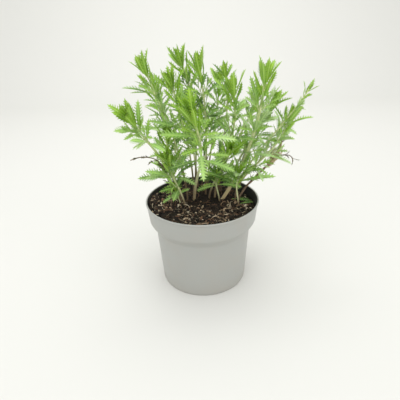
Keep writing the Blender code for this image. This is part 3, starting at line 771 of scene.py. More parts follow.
def soil_finish(look):
    """Damp potting soil: near black, with brown crumbs where it is dry and out of the painted shade."""
    finish = Finish("potting_soil", Specular_IOR_Level=0.25)
    crumbs = finish.noise(1.6, detail=5, roughness=0.7)
    clods = finish.noise(9)
    # Painted shade: the tone falls in the hollow, so the soil is darker there as well as wetter.
    dry = (crumbs * 0.5 + clods * 0.5).step(0.44, 0.64) * finish.value("tone")
    colour = finish.layers(look.damp, (look.dry, dry))
    return finish.coat(colour, 0.82 + crumbs * 0.15, crumbs * 0.8 + clods * 0.2, depth=1, strength=0.9)


def litter_finish(look):
    """Loose crumbs and fibres: each has its own place on a ramp from near black to straw."""
    finish = Finish("soil_litter", Specular_IOR_Level=0.25)
    stops = ((0, look.damp), (0.4, look.dry), (0.62, look.bark), (0.8, look.fibre), (1, look.straw))
    ramp = finish.node("ShaderNodeValToRGB", {"Fac": finish.value("tone")}, stops=stops)
    grain = finish.noise(0.5)
    wet = finish.noise(16, detail=2).step(0.5, 0.6)
    colour = finish.layers(ramp, (look.damp, (grain.step(0.55, 0.8) * 0.4).over(wet * 0.7)))
    return finish.coat(colour, 0.8 + grain * 0.15, grain, depth=0.25, strength=0.6)


def pot_finish(look, name, colour, dusty):
    """Formed plastic with a faint grain and light scuffs, and dust in patches and low down."""
    finish = Finish(name, Specular_IOR_Level=0.4)
    patches = finish.noise(26)
    streaks = finish.noise(3, roughness=0.6, rise=0.08)
    grain = finish.noise(0.5, detail=2)
    low = finish.node("ShaderNodeSeparateXYZ", {"Vector": finish.place()}, output="Z").step(26, 0)
    dust = (patches.step(0.4, 0.75) * 0.35 + low * 0.4) * dusty
    colour = finish.layers(colour, (look.dust, dust), (look.scuff, streaks.step(0.66, 0.78) * 0.12))
    roughness = 0.38 + patches * 0.16 + low * 0.1
    relief = grain * 0.6 + streaks * 0.4
    return finish.coat(colour, roughness, relief, depth=0.05, strength=0.5)


def outer_radius(height):
    """The radius of the wall's outside: straight to the shoulder, eased through it, straight to the lip."""
    wall = np.interp(height, (0, SHOULDER_BOTTOM), (0, WALL_TOP_RADIUS - BASE_RADIUS))
    shoulder = eased((np.asarray(height) - SHOULDER_BOTTOM) / (BAND_BOTTOM - SHOULDER_BOTTOM))
    band = np.interp(height, (BAND_BOTTOM, POT_HEIGHT), (0, RIM_RADIUS - LIP_OVERHANG - BAND_RADIUS))
    return BASE_RADIUS + wall + (BAND_RADIUS - WALL_TOP_RADIUS) * shoulder + band


def soil_radius(height):
    """The radius of the soil's side, which stays off the wall."""
    return outer_radius(height) - SHEET - GAP


def bell(x, y, middle_x, middle_y, width):
    """A bell curve of the distance from a middle, which is 1 there."""
    return np.exp(-((x - middle_x) ** 2 + (y - middle_y) ** 2) / width**2)


def soil_level(x, y):
    """The soil's top: the solid's crossing waves and its fall to the wall, and loose soil heaped on them."""
    lumps = sum(share * np.sin(x * per_x + y * per_y + start) for per_x, per_y, start, share in SOIL_WAVES)
    fall = eased((np.hypot(x, y) - SOIL_EDGE_START) / (outer_radius(SOIL_TOP) - SHEET - SOIL_EDGE_START))
    return SOIL_TOP + SOIL_LUMP * lumps - SOIL_EDGE_DROP * fall + HEAP_HEIGHT * bell(x, y, *HEAP)


def dryness_and_light(x, y):
    """How dry and unshaded the soil's top is, from 0 to 1: the hollow is both wet and in painted shade."""
    return 1 - HOLLOW_DARK * bell(x, y, *WET_SHADED_HOLLOW)


def arc(x, y, radius, start, end, steps):
    """Points of an arc in the plane of radius and height, from one angle to another in degrees."""
    angles = np.radians(np.linspace(start, end, steps))
    return np.stack([x + radius * np.cos(angles), y + radius * np.sin(angles)], axis=-1)


def pot_profile():
    """The pot's section, from the middle of its underside up to the lip, and from there down its inside."""
    heights = np.r_[
        np.linspace(FOOT_CHAMFER, SHOULDER_BOTTOM, 16, endpoint=False),
        np.linspace(SHOULDER_BOTTOM, BAND_BOTTOM, 14, endpoint=False),
        np.linspace(BAND_BOTTOM, POT_HEIGHT - LIP_HEIGHT - 1, 8),
    ]
    wall = np.stack([outer_radius(heights), heights], axis=-1)
    foot = BASE_RADIUS - FOOT_CHAMFER
    under, over, inner = LIP_ROUNDS
    outside = np.concatenate([
        PAD_RADIUS * np.array([(0, 0), (0.5, 0), (0.75, 0)]),
        arc(PAD_RADIUS, FOOT_ROUND, FOOT_ROUND, -90, -40, 3),
        np.linspace((CHANNEL_INNER, CHANNEL_RISE), (CHANNEL_OUTER, CHANNEL_RISE), 7),
        arc(FOOT_INNER, FOOT_ROUND, FOOT_ROUND, -140, -90, 3),
        np.linspace((FOOT_INNER + 2, 0), (foot, 0), 2, endpoint=False),
        arc(foot, FOOT_CHAMFER, FOOT_CHAMFER, -90, -20, 5),
        wall,
        arc(RIM_RADIUS - under, POT_HEIGHT - LIP_HEIGHT + under, under, -80, 0, 4),
        arc(RIM_RADIUS - over, POT_HEIGHT - over, over, 0, 90, 6),
        arc(RIM_RADIUS - LIP_OVERHANG - SHEET + inner, POT_HEIGHT - inner, inner, 90, 180, 5),
    ])
    floor = CHANNEL_RISE + SHEET
    bottom = (
        (FOOT_INNER + 1, SHEET),
        (CHANNEL_OUTER + 1, floor),
        (CHANNEL_INNER - 1, floor),
        (PAD_RADIUS - 1, SHEET),
        (0, SHEET),
    )
    return outside, np.concatenate([(wall - [SHEET, 0])[:0:-1], bottom])


def rides(obj, slot, *nodes):
    """Says that a piece moves with the pot and stands for some solids, which it hides. slot is not used."""
    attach(obj, "root")
    if nodes:
        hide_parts(*nodes)


def make_pot(look):
    """The shell, with a finish for its outside and one for its inside."""
    outside, inside = pot_profile()
    points, (walls, foot, floor) = turned(np.concatenate([outside, inside]), look.steps)
    outer, inner = np.split(walls, [(len(outside) - 2) * look.steps])
    mesh = Mesh()
    mesh.add(points, [outer, foot, inner, floor], (0, 0, 1, 1))
    pale = pot_finish(look, "pot_outside", look.wall, 1)
    black = pot_finish(look, "pot_inside", look.inside, 0.5)
    pot = mesh.build("grower_pot", [pale, black], sharp=50)
    drill_drains(pot)
    rides(pot, "pot", "pot")


def drill_drains(pot):
    """Cuts the drain holes with upright tubes."""
    heights = CHANNEL_RISE + DRILL_LENGTH * np.array([-0.5, 0, 0.5])
    x, y = DRAIN_CIRCLE * np.stack([np.cos(circle(DRAIN_COUNT)), np.sin(circle(DRAIN_COUNT))])[..., None]
    paths = np.stack(np.broadcast_arrays(x, y, heights), axis=-1)
    mesh = Mesh()
    mesh.add(*tubes(paths, np.full(paths.shape[:2], DRAIN_RADIUS), circle(24)))
    drill = mesh.build("drill", [])
    cut = pot.modifiers.new("Drains", "BOOLEAN")
    cut.object = drill
    cut.solver = "EXACT"
    pot.data = bpy.data.meshes.new_from_object(pot.evaluated_get(bpy.context.evaluated_depsgraph_get()))
    pot.modifiers.clear()
    bpy.data.objects.remove(drill)


def make_soil(look):
    """One closed lump, whose top follows the solid's, with finer lumps that fade to the wall.

    A point of the top goes up to the soil's level there. It also goes out, by the eighth power of its share
    of the radius, so that the edge meets the side at its own height.
    """
    bottom = CHANNEL_RISE + SHEET + GAP
    side_heights = np.array([bottom, SHOULDER_BOTTOM, BAND_BOTTOM])
    side = np.stack([soil_radius(side_heights), side_heights], axis=-1)
    radii = np.linspace(1, float(soil_radius(SOIL_TOP - SOIL_EDGE_DROP)), look.rings)
    top = np.stack([radii[::-1], np.full(len(radii), SOIL_TOP)], axis=-1)
    points, faces = turned(np.concatenate([[(0, bottom)], side, top, [(0, SOIL_TOP)]]), look.rings * 3)
    lifted = points[:, 2] > SOIL_TOP - 0.5
    flat = points[lifted, :2]
    out = np.hypot(*flat.T) / radii[-1]
    fine = sum(height * waves(flat, length, seed) for height, length, seed in FINE_LUMPS)
    level = soil_level(*flat.T) + fine * eased((1 - out) * radii[-1] / FINE_FADE)
    points[lifted, 2] = level
    points[lifted, :2] *= 1 + (out**8 * (soil_radius(level) / radii[-1] - 1))[:, None]
    mesh = Mesh()
    # The tone is how dry the soil is, lowered by painted shade in the hollow.
    mesh.add(points, faces, tone=dryness_and_light(*points[:, :2].T))
    rides(mesh.build("soil_block", [soil_finish(look)]), "soil", "soil")


def scattered(chance, count, reach):
    """Random places, as x and y: the root of an even draw spreads them evenly over a disc."""
    radius = reach * np.sqrt(chance.uniform(0, 1, count))
    angle = chance.uniform(0, tau, count)
    return radius * np.cos(angle), radius * np.sin(angle)


def rotations(chance, count):
    """Random rotations: 1 + sin(angle) K + (1 - cos(angle)) K K, where K is a random axis's cross matrix."""
    axes = unit(chance.normal(size=(count, 3)))
    angle = chance.uniform(0, tau, count)[:, None, None]
    cross = np.zeros((count, 3, 3))
    cross[:, 0, 1], cross[:, 0, 2], cross[:, 1, 2] = -axes[:, 2], axes[:, 1], -axes[:, 0]
    cross -= np.transpose(cross, (0, 2, 1))
    return np.eye(3) + np.sin(angle) * cross + (1 - np.cos(angle)) * cross @ cross


def add_crumbs(mesh, look, chance):
    """Crumbs of many sizes, partly sunk in the soil: balls that are stretched and dented at random."""
    for part, small, large, around, rings in CRUMBS:
        count = look.crumbs // part
        polar = np.linspace(0, pi, rings + 2)
        base, faces = turned(np.stack([np.sin(polar), np.cos(polar)], axis=-1), around)
        x, y = scattered(chance, count, CRUMB_REACH)
        size = small * (large / small) ** chance.uniform(0, 1, count) ** MOSTLY_SMALL
        shape = chance.uniform(*CRUMB_STRETCH, (count, 1, 3)) * size[:, None, None]
        rough = chance.uniform(*CRUMB_DENTS, (count, len(base), 1))
        local = (base * shape * rough) @ rotations(chance, count)
        centres = np.stack([x, y, soil_level(x, y) + CRUMB_RAISED * size], axis=-1)
        # Crumbs in the hollow are darker: wetness and painted shade.
        tone = chance.uniform(0, 1, count) ** MOSTLY_DARK * dryness_and_light(x, y)
        mesh.add(local + centres[:, None], copies(faces, len(base), count), tone=np.repeat(tone, len(base)))


def add_strands(mesh, chance, count, lengths, thickness, tones, rise, reach):
    """Thin strands on the soil: each is curled flat as an arc, and rises as a parabola in its middle."""
    steps = np.linspace(-0.5, 0.5, 8)
    x, y = scattered(chance, count, reach)
    heading = chance.uniform(0, tau, count)
    length = chance.uniform(*lengths, count)
    curl = chance.normal(0, STRAND_CURL, count)
    bearing = heading[:, None] + curl[:, None] * steps * 2
    stride = length[:, None, None] / len(steps) * np.stack([np.cos(bearing), np.sin(bearing)], axis=-1)
    flat = np.stack([x, y], axis=-1)[:, None] + np.cumsum(stride, axis=1) - stride.sum(axis=1)[:, None] / 2
    flat *= np.minimum(1, reach / np.linalg.norm(flat, axis=-1))[..., None]
    arch = chance.uniform(*rise, count)[:, None] * (1 - (2 * steps) ** 2)
    height = soil_level(flat[..., 0], flat[..., 1]) + arch + STRAND_LIFT
    radii = chance.uniform(*thickness, count)[:, None] * (1 - 0.5 * (2 * steps) ** 2)
    points, faces = tubes(np.concatenate([flat, height[..., None]], axis=-1), radii, circle(4), 1, (0, 0, 1))
    # Strands in the hollow are darker: wetness and painted shade.
    tone = chance.uniform(*tones, count) * dryness_and_light(x, y)
    mesh.add(points, faces, tone=np.repeat(tone, points.shape[1]))


def make_litter(look, materials):
    """What lies loose on the soil: crumbs, fibres, chips of bark, pale rootlets and two dark leaves."""
    chance = np.random.default_rng(look.seed)
    mesh = Mesh()
    add_crumbs(mesh, look, chance)
    for name, strand in STRANDS.items():
        add_strands(mesh, chance, getattr(look, name), *strand)
    for x, y, heading, length in FALLEN:
        along = np.array([cos(radians(heading)), sin(radians(heading)), 0])
        origin = np.array([x, y, soil_level(x, y) + FALLEN_RISE])
        leaf = Leaf(origin, along, np.array(FALLEN_FACE), length, bend=0.25, twist=0.2)
        add_leaf(mesh, leaf, 1, chance, finish=1, darkest=1)
    rides(mesh.build("soil_litter", materials), "soil")


def add_leaf(mesh, leaf, age, chance, finish=0, darkest=0):
    """A toothed blade on its stalk, as closed rings from the stem to the apex.

    A ring's point is the rib's point, plus its reach out along a forward-leaning vein, plus its height along
    the upper normal. On a line that is a share s of the way out, the reach is s times that of the notches,
    plus the fourth power of s times the lobe's. The height is the blade's fold times the reach, plus half its
    thickness, plus a pucker that is highest between two veins, plus a slow wave that grows with the square of
    the reach.
    """
    plan = next(plan for length, plan in PLANS if leaf.length > length)
    teeth = int(np.clip(round(leaf.length / LENGTH_PER_TOOTH), *TEETH_RANGE))
    still = np.zeros(len(STALK_PLACES))
    veins = (np.arange(teeth)[:, None] + plan.places).ravel()
    veins = np.r_[veins, teeth + APEX_SPAN * np.array(plan.apex_places)]
    shares = veins / (teeth + APEX_SPAN)
    half_width = WIDTH_SHARE * leaf.length
    outline = half_width * np.sin(pi * shares**OUTLINE_SKEW) ** OUTLINE_FULLNESS
    notch = np.maximum((NOTCH_YOUNG + (NOTCH_OLD - NOTCH_YOUNG) * age) * outline, STALK_HALF_WIDTH)
    depth = np.r_[np.tile(plan.reaches, teeth), np.zeros(len(plan.apex_places))]
    depth = depth * np.clip(shares / FIRST_TEETH, LEAST_TEETH, 1) * (outline - notch)
    lengths = chance.uniform(*TOOTH_UNEVEN, (2, teeth + 1))[:, np.minimum(veins.astype(int), teeth)]
    left, right = (np.r_[still, depth * hand][:, None] for hand in lengths)
    notch = np.r_[still + STALK_HALF_WIDTH, notch][:, None]
    hands, out_share = np.sign(plan.lines), np.abs(plan.lines)
    reach = out_share * notch + out_share**4 * np.where(hands < 0, left, right)
    rib_share = np.r_[STALK_SHARE * np.array(STALK_PLACES), STALK_SHARE + (1 - STALK_SHARE) * shares]
    rib, tangents, sides, uppers = (part[:, None] for part in rib_frame(leaf, rib_share))
    blade = np.r_[still, eased(shares / BLADE_START)][:, None]
    lean = (TOOTH_LEAN * blade)[..., None]
    between = np.r_[still, np.sin(pi * (veins - TOOTH_TIP)) ** 2][:, None]
    thick = np.clip(leaf.length / FULL_THICKNESS_LENGTH, 0.5, 1) * (1 - 0.5 * rib_share[:, None])
    wave = WAVE * half_width * np.sin(tau * WAVE_COUNT * rib_share + chance.uniform(0, tau))[:, None]
    wide = reach / half_width
    height = FOLD * reach + plan.levels * thick
    height += (PUCKER * half_width * between * plan.pucker + wave * wide**2) * blade
    out = np.cos(lean) * hands[:, None] * sides + np.sin(lean) * out_share[:, None] ** 0.5 * tangents
    rings = rib + reach[..., None] * out + height[..., None] * uppers
    # Painted shade: half of a leaf's tone is random, half grows towards the pot's middle, and a high tone
    # darkens the leaf.
    middle_shade = 1 - min(np.hypot(*leaf.origin[:2]) / PALE_FROM, 1)
    mesh.add(
        np.concatenate([rings.reshape(-1, 3), rib_frame(leaf, (0, 1))[0]]),
        ring_body(*rings.shape[:2]),
        finish,
        across=np.r_[(hands * wide).ravel(), 0, 0],
        vein=by_ring(np.r_[still - 1, veins], len(hands)),
        under=np.r_[np.tile(plan.levels < 0, len(rings)), 0, 0],
        age=age,
        tone=max(darkest, 0.5 * chance.uniform() + 0.5 * middle_shade),
    )


def young_leaf(origin, axis, outward, opening, length, bends, chance):
    """A leaf with its own small sway."""
    opening += chance.uniform(-YOUNG_OPENING, YOUNG_OPENING)
    length *= chance.uniform(*YOUNG_LENGTHS)
    bend = chance.uniform(*bends)
    return leaf_from(origin, axis, outward, opening, length, bend, chance.uniform(-YOUNG_TWIST, YOUNG_TWIST))


def add_young_pairs(mesh, foot, axis, turn, reach, pairs, scale, bends, age, chance):
    """Opposite pairs of young leaves along a short axis, each a quarter turn from the last."""
    across, deep = square_axes(axis)
    for step, (share, opening, length) in enumerate(pairs):
        for side in (0, pi):
            angle = turn + side + step * pi / 2 + chance.uniform(-YOUNG_TURN, YOUNG_TURN)
            outward = spoke(across, deep, angle)
            origin = foot + share * reach * axis
            leaf = young_leaf(origin, axis, outward, opening, length * scale, bends, chance)
            add_leaf(mesh, leaf, age, chance)


def add_side_shoot(mesh, foot, along, outward, size, age, chance):
    """A short shoot in the corner over a leaf: a thin stalk with its own pairs of young leaves."""
    lean = chance.uniform(*SIDE_LEANS)
    axis = unit(along + lean * outward + chance.uniform(-SIDE_STRAY, SIDE_STRAY) * np.cross(along, outward))
    reach = size * chance.uniform(*SIDE_REACHES)
    steps = np.linspace(0, 1, 5)
    path = foot + steps[:, None] * reach * axis
    radii = SIDE_RADII[0] + (SIDE_RADII[1] - SIDE_RADII[0]) * steps
    mesh.add_tube(path, radii, circle(12), 1, age=SIDE_AGE, tone=chance.uniform(0, 1), vein=-1)
    scale = size * chance.uniform(*SIDE_SIZES)
    turn = chance.uniform(0, tau)
    add_young_pairs(mesh, foot, axis, turn, reach, SIDE_PAIRS, scale, SIDE_BENDS, age, chance)


def make_shoot(shoot, seed, look, materials):
    """A square stem with a swelling at each leaf pair, its leaves, and the young leaves in their corners.

    The stem's radius is its own at each share of it, plus a bell curve along it at each leaf pair, and times
    the mean of the section less a cosine of four times the angle.
    """
    stem = Stem(shoot)
    leaves = standing_leaves(stem, seed)
    chance = np.random.default_rng(look.seed + seed)
    mesh = Mesh()
    for share, leaf in leaves:
        grown = share < stem.crown_foot - PAIR_MARGIN
        age = min(GROWN_AGE * grown + (1 - share) * AGE_RANGE + chance.uniform(0, AGE_DRAW), 1)
        add_leaf(mesh, leaf, age, chance)
        if grown:
            point, along, _, _ = stem.frame(share)
            outward = unit(leaf.along - (leaf.along @ along) * along)
            foot = point + SIDE_FOOT[0] * stem.radius(share) * outward + SIDE_FOOT[1] * along
            add_side_shoot(mesh, foot, along, outward, look.side_shoots * leaf.length, 0.5 * age, chance)
    foot, along, _, _ = stem.frame(stem.crown_foot)
    turn, scale = radians(shoot.turn + 45), look.crowns * shoot.lengths[1]
    add_young_pairs(mesh, foot, along, turn, CROWN_DEPTH, CROWN_PAIRS, scale, CROWN_BENDS, 0, chance)
    steps = np.linspace(0, 1, look.stem_steps)
    swelling = sum(np.exp(-(((steps - share) * stem.length / PAIR_LENGTH) ** 2)) for share, _ in leaves)
    radii = stem.radius(steps) * (1 + PAIR_SWELL * np.minimum(swelling, 1))
    section = SECTION[0] - SECTION[1] * np.cos(STEM_SIDES * circle(STEM_POINTS))
    thin = eased((WOODY_RADII[0] - shoot.radius) / (WOODY_RADII[0] - WOODY_RADII[1]))
    tone = 0.5 * chance.uniform() + 0.5 * thin
    path, angles = stem.curve(steps), circle(STEM_POINTS)
    mesh.add_tube(path, radii, angles, 1, section, age=1 - steps, tone=tone, vein=-1)
    rides(mesh.build("sage_" + shoot.name, materials), "foliage", shoot.name)


def add_wood(mesh, branch, seed, spacing):
    """One dry branch with a knot every so often, and the shares of its length at which the knots are.

    The path is a smooth curve plus slow waves that die out at both ends. The radius falls evenly from thick
    to thin, times a fine roughness and, at each knot, a bell curve along the branch.
    """
    points, thick, thin = branch
    curve = curve_through(points)
    steps = np.linspace(0, 1, TWIG_RINGS)
    path = curve(steps)
    length = length_of(path)
    knots = np.arange(0.5, length / spacing) * spacing / length
    swelling = np.exp(-(((steps[:, None] - knots) * length / KNOT_LENGTH) ** 2)).sum(axis=1)
    (roughness, grain), (height, stretch) = TWIG_ROUGH, TWIG_WOBBLE
    rough = 1 - roughness + KNOT_SWELL * np.minimum(swelling, 1) + roughness * waves(path, grain, seed)
    wobble = height * np.stack([waves(path, stretch, seed + axis) for axis in range(3)], axis=-1)
    path = path + wobble * np.sin(pi * steps)[:, None]
    radii = (thick + (thin - thick) * steps) * rough
    mesh.add_tube(path, radii, circle(12), age=1 - steps, tone=float(thick > FRAYED_FROM))
    return curve, knots


def add_dry_leaves(mesh, curve, knots, chance):
    """Shrivelled leaves that hang on at the knots of a branch's outer part."""
    for share in knots[knots > DRY_LEAVES_FROM]:
        point, after = curve([share, share + DIRECTION_STEP])
        axis = unit(after - point)
        outward = spoke(*square_axes(axis), chance.uniform(0, tau))
        for hand in (outward, -outward):
            opening, length = chance.uniform(*DRY_OPENINGS), chance.uniform(*DRY_LENGTHS)
            leaf = young_leaf(point, axis, hand, opening, length, DRY_BENDS, chance)
            add_leaf(mesh, leaf, 1, chance, finish=1)


def add_frayed_bark(mesh, curve, look, chance):
    """Strips of bark that have come off the branch's outer half.

    A strip's distance from the branch is the sine of part of half a turn, and its radius falls evenly.
    """
    steps = np.linspace(0, 1, 14)
    for _ in range(look.strips):
        start = chance.uniform(*STRIP_STARTS)
        path = curve(start + steps * chance.uniform(*STRIP_LENGTHS))
        outward = spoke(*square_axes(path[-1] - path[0]), chance.uniform(0, tau))
        bow = chance.uniform(*STRIP_BOWS) * np.sin(pi * chance.uniform(*STRIP_TURNS) * steps)
        radii = chance.uniform(*STRIP_RADII) * (1 - STRIP_TAPER * steps)
        mesh.add_tube(path + bow[:, None] * outward, radii, circle(6), 2, tone=chance.uniform(0, 1))


def make_twig(name, branches, seed, look, materials):
    """Dry wood with a knot every so often, a few shrivelled leaves, and frayed bark on the thick one."""
    chance = np.random.default_rng(look.seed + seed)
    mesh = Mesh()
    for branch in branches:
        curve, knots = add_wood(mesh, branch, seed, look.knot_spacing / MM)
        add_dry_leaves(mesh, curve, knots, chance)
    points, thick, _ = branches[0]
    if thick > FRAYED_FROM:
        add_frayed_bark(mesh, curve_through(points), look, chance)
    rides(mesh.build("dry_" + name, materials), "twig", name)


# The paper sweep, and each light: its place, the point that it faces, its size, its setting and its share of
# that setting.
SWEEP_HALF_WIDTH = 3000
SWEEP_DEPTH = 1500
SWEEP_RISE = 3000
SWEEP_BEND = 900
PLANT = (0, 0, 170)
LIGHTS = {
    "overhead": ((-150, -200, 1100), PLANT, 1100, "key", 1),
    "front_left": ((-900, -900, 600), PLANT, 900, "fill", 0.7),
    "front_right": ((1000, -700, 500), PLANT, 900, "fill", 1),
    "sweep_light": ((0, 900, 2200), (0, 2300, 300), 1600, "sweep", 1),
}


def make_stage(look):
    """A pale sweep with its light, a broad light above, one from each side, and the photograph's camera.

    The sweep's profile is a flat, a quarter circle and a wall.
    """
    run = np.linspace(0, pi / 2, 24)
    bend = [SWEEP_DEPTH, SWEEP_BEND] + SWEEP_BEND * np.stack([np.sin(run), -np.cos(run)], axis=-1)
    profile = np.concatenate([[(-SWEEP_HALF_WIDTH, 0)], bend, [(SWEEP_DEPTH + SWEEP_BEND, SWEEP_RISE)]])
    points = np.array([[(x, y, z) for x in (-SWEEP_HALF_WIDTH, SWEEP_HALF_WIDTH)] for y, z in profile])
    index = np.arange(len(profile) * 2).reshape(-1, 2)
    mesh = Mesh()
    mesh.add(points, [np.stack([index[:-1, 0], index[:-1, 1], index[1:, 1], index[1:, 0]], axis=-1)])
    paper = Finish("paper_sweep", Base_Color=look.floor, Roughness=0.9, Specular_IOR_Level=0.1)
    mesh.build("sweep", [paper.material])
    world = bpy.data.worlds.new("soft_room")
    world.use_nodes = True
    background = world.node_tree.nodes["Background"].inputs
    background["Color"].default_value = (*look.air, 1)
    background["Strength"].default_value = look.air_strength
    bpy.context.scene.world = world
    for name, (place, aim, size, setting, share) in LIGHTS.items():
        light = bpy.data.lights.new(name, "AREA")
        light.energy = share * getattr(look, setting)
        light.size = size * MM
        facing = (Vector(aim) - Vector(place)).to_track_quat("-Z", "Y").to_matrix().to_4x4()
        show(name, light, Matrix.Translation(Vector(place) * MM) @ facing)
    camera = bpy.data.cameras.new("photo_camera")
    camera.lens = look.lens
    tilt = Matrix.Rotation(pi / 2 - look.camera_pitch, 4, "X") @ Matrix.Rotation(look.camera_roll, 4, "Z")
    bpy.context.scene.camera = show("photo_camera", camera, Matrix.Translation(look.camera_place) @ tilt)
    bpy.context.scene.view_settings.view_transform = "Standard"


def number(name, description, default, low=0, high=9999):
    return IntProperty(name=name, description=description, default=default, min=low, max=high)


def real(name, description, default, **more):
    return FloatProperty(name=name, description=description, default=default, **more)


def factor(name, description, default):
    return real(name, description, default, subtype="FACTOR", min=0, max=2)


def power(name, description, default):
    return real(name, description, default, subtype="POWER", unit="POWER")


def angle(name, description, degrees):
    return real(name, description, radians(degrees), subtype="ANGLE", unit="ROTATION")


def colour(name, description, *default):
    return FloatVectorProperty(
        name=name, description=description, default=default, subtype="COLOR", min=0, max=1
    )


class PotLook(bpy.types.PropertyGroup):
    steps: number("Steps", "Flat stretches round the pot", 144, 24, 360)
    wall: colour("Outside", "Plastic of the outside", 0.385, 0.392, 0.368)
    inside: colour("Inside", "Plastic of the inside", 0.025, 0.027, 0.025)
    dust: colour("Dust", "Dust on the plastic", 0.4, 0.38, 0.34)
    scuff: colour("Scuffs", "Light rubbed streaks", 0.7, 0.7, 0.67)


class SoilLook(bpy.types.PropertyGroup):
    seed: number("Seed", "Start of the random draws", 5)
    rings: number("Rings", "Rings of points on the soil's top", 64, 10, 160)
    crumbs: number("Crumbs", "Small crumbs on the soil", 3000)
    fibres: number("Fibres", "Thin fibres on the soil", 560)
    chips: number("Chips", "Chips of bark on the soil", 420)
    rootlets: number("Rootlets", "Pale rootlets on the soil", 14)
    damp: colour("Damp soil", "Darkest soil", 0.009, 0.007, 0.005)
    dry: colour("Dry soil", "Drier brown soil", 0.055, 0.039, 0.026)
    bark: colour("Bark", "Reddish bark chips", 0.22, 0.12, 0.07)
    fibre: colour("Fibre", "Coconut and wood fibres", 0.5, 0.38, 0.24)
    straw: colour("Straw", "Palest rootlets", 0.8, 0.7, 0.52)


class LeafLook(bpy.types.PropertyGroup):
    seed: number("Seed", "Start of the random draws", 40)
    stem_steps: number("Stem steps", "Rings of points on a stem", 64, 8, 200)
    side_shoots: factor("Side shoots", "Their leaves, as a share of the leaf below", 0.56)
    crowns: factor("Crowns", "How long the young leaves at the tips are", 1.12)
    glow: factor("Glow", "How much light passes into a blade", 0.1)
    young: colour("Young", "Leaves at the tips", 0.24, 0.44, 0.015)
    old: colour("Old", "Leaves low down", 0.4, 0.64, 0.2)
    # Partly random dark leaves, partly painted shade in the middle of the bush and in the notches between
    # lobes.
    shade: colour("Shade", "Dark leaves in the middle, and the notches", 0.035, 0.125, 0.02)
    downy: colour("Downy", "Paler, greyer leaves", 0.56, 0.7, 0.42)
    sunny: colour("Sunny", "Yellower patches", 0.36, 0.55, 0.04)
    underside: colour("Underside", "Downy underside", 0.34, 0.47, 0.2)
    vein: colour("Veins", "Ribs and veins", 0.52, 0.7, 0.24)
    # Painted shade along the blades' thin edges.
    edge: colour("Edges", "Thin edges", 0.17, 0.22, 0.06)


class StemLook(bpy.types.PropertyGroup):
    fresh: colour("Fresh", "Green stems", 0.32, 0.43, 0.14)
    pale: colour("Pale", "Downy ridges", 0.78, 0.78, 0.44)
    woody: colour("Woody", "Stems at the foot", 0.7, 0.56, 0.3)
    bark: colour("Bark", "Brown at the foot", 0.13, 0.08, 0.042)


class TwigLook(bpy.types.PropertyGroup):
    seed: number("Seed", "Start of the random draws", 90)
    knot_spacing: real("Knots", "Distance from knot to knot", 0.014, subtype="DISTANCE", unit="LENGTH")
    strips: number("Strips", "Strips of bark that hang off", 64)
    bark: colour("Bark", "Dark bark", 0.085, 0.055, 0.04)
    fibre: colour("Fibre", "Paler fibres", 0.38, 0.27, 0.17)
    bast: colour("Bast", "Straw-coloured strips", 0.66, 0.56, 0.32)
    tip: colour("Tip", "Wood at the thin end", 0.34, 0.28, 0.12)
    leaf: colour("Leaf", "Shrivelled leaves", 0.085, 0.085, 0.035)


class StageLook(bpy.types.PropertyGroup):
    floor: colour("Floor", "Paper sweep", 0.685, 0.685, 0.655)
    air: colour("Air", "Light of the room", 1, 1, 0.99)
    air_strength: factor("Air strength", "Strength of the room's light", 0.95)
    key: power("Key", "Power of the light above", 3.6)
    fill: power("Fill", "Power of the lights in front", 2.6)
    sweep: power("Sweep", "Power of the light on the backdrop", 23)
    lens: real("Lens", "Focal length in millimetres", 29.67, unit="CAMERA")
    camera_place: FloatVectorProperty(
        name="Camera",
        description="Where the camera stands",
        subtype="TRANSLATION",
        unit="LENGTH",
        default=(-0.00327, -0.4379, 0.3408),
    )
    camera_pitch: angle("Pitch", "How far the camera looks down", 26.2)
    camera_roll: angle("Roll", "How far the camera leans", -1.85)


class SAGE_OT_pot(bpy.types.Operator):
    """Makes the pot's outside, inside, underside and drain holes"""

    bl_idname = "sage.pot"
    bl_label = "Make Pot"

    def execute(self, context):
        make_pot(context.scene.sage_pot)
        return {"FINISHED"}


class SAGE_OT_soil(bpy.types.Operator):
    """Makes the block of soil"""

    bl_idname = "sage.soil"
    bl_label = "Make Soil"

    def execute(self, context):
        make_soil(context.scene.sage_soil)
        return {"FINISHED"}


class SAGE_OT_litter(bpy.types.Operator):
    """Makes what lies loose on the soil"""

    bl_idname = "sage.litter"
    bl_label = "Make Crumbs and Fibres"

    def execute(self, context):
        look = context.scene.sage_soil
        make_litter(look, [litter_finish(look), leaf_finish(context.scene.sage_leaf, "fallen_leaf")])
        return {"FINISHED"}


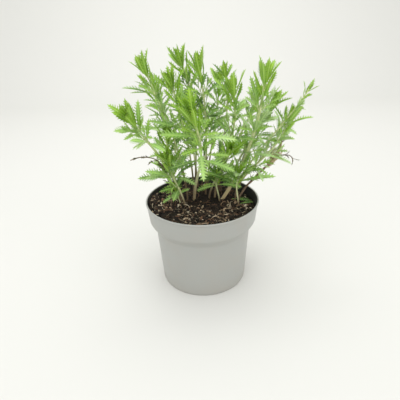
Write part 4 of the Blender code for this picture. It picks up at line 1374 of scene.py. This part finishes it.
class SAGE_OT_shoots(bpy.types.Operator):
    """Makes the leafy stems"""

    bl_idname = "sage.shoots"
    bl_label = "Make Stems and Leaves"

    def execute(self, context):
        look = context.scene.sage_leaf
        materials = [leaf_finish(look), stem_finish(context.scene.sage_stem)]
        for seed, shoot in enumerate(SHOOTS):
            make_shoot(shoot, seed, look, materials)
        return {"FINISHED"}


class SAGE_OT_twigs(bpy.types.Operator):
    """Makes the dry twigs"""

    bl_idname = "sage.twigs"
    bl_label = "Make Dry Twigs"

    def execute(self, context):
        look = context.scene.sage_twig
        materials = [wood_finish(look), dry_leaf_finish(look), strip_finish(look)]
        for seed, (name, branches) in enumerate(TWIGS.items()):
            make_twig(name, branches, seed, look, materials)
        return {"FINISHED"}


class SAGE_OT_stage(bpy.types.Operator):
    """Makes the floor, the lights and the camera"""

    bl_idname = "sage.stage"
    bl_label = "Make Stage"

    def execute(self, context):
        make_stage(context.scene.sage_stage)
        return {"FINISHED"}


class SAGE_PT_panel(bpy.types.Panel):
    """Lists the steps that make the plant"""

    bl_idname = "SAGE_PT_panel"
    bl_label = "Potted Russian Sage"
    bl_space_type = "VIEW_3D"
    bl_region_type = "UI"
    bl_category = "Sage"

    def draw(self, context):
        for operator in OPERATORS:
            self.layout.operator(operator.bl_idname)


LOOKS = {
    "sage_pot": PotLook,
    "sage_soil": SoilLook,
    "sage_leaf": LeafLook,
    "sage_stem": StemLook,
    "sage_twig": TwigLook,
    "sage_stage": StageLook,
}
OPERATORS = (SAGE_OT_pot, SAGE_OT_soil, SAGE_OT_litter, SAGE_OT_shoots, SAGE_OT_twigs, SAGE_OT_stage)


def register():
    for kind in (*LOOKS.values(), *OPERATORS, SAGE_PT_panel):
        bpy.utils.register_class(kind)
    for name, kind in LOOKS.items():
        setattr(bpy.types.Scene, name, PointerProperty(type=kind))


def unregister():
    for name in LOOKS:
        delattr(bpy.types.Scene, name)
    for kind in (SAGE_PT_panel, *OPERATORS, *LOOKS.values()):
        bpy.utils.unregister_class(kind)


def main():
    register()
    bpy.ops.sage.pot()
    bpy.ops.sage.soil()
    bpy.ops.sage.litter()
    bpy.ops.sage.shoots()
    bpy.ops.sage.twigs()
    bpy.ops.sage.stage()


if __name__ == "__main__":
    main()
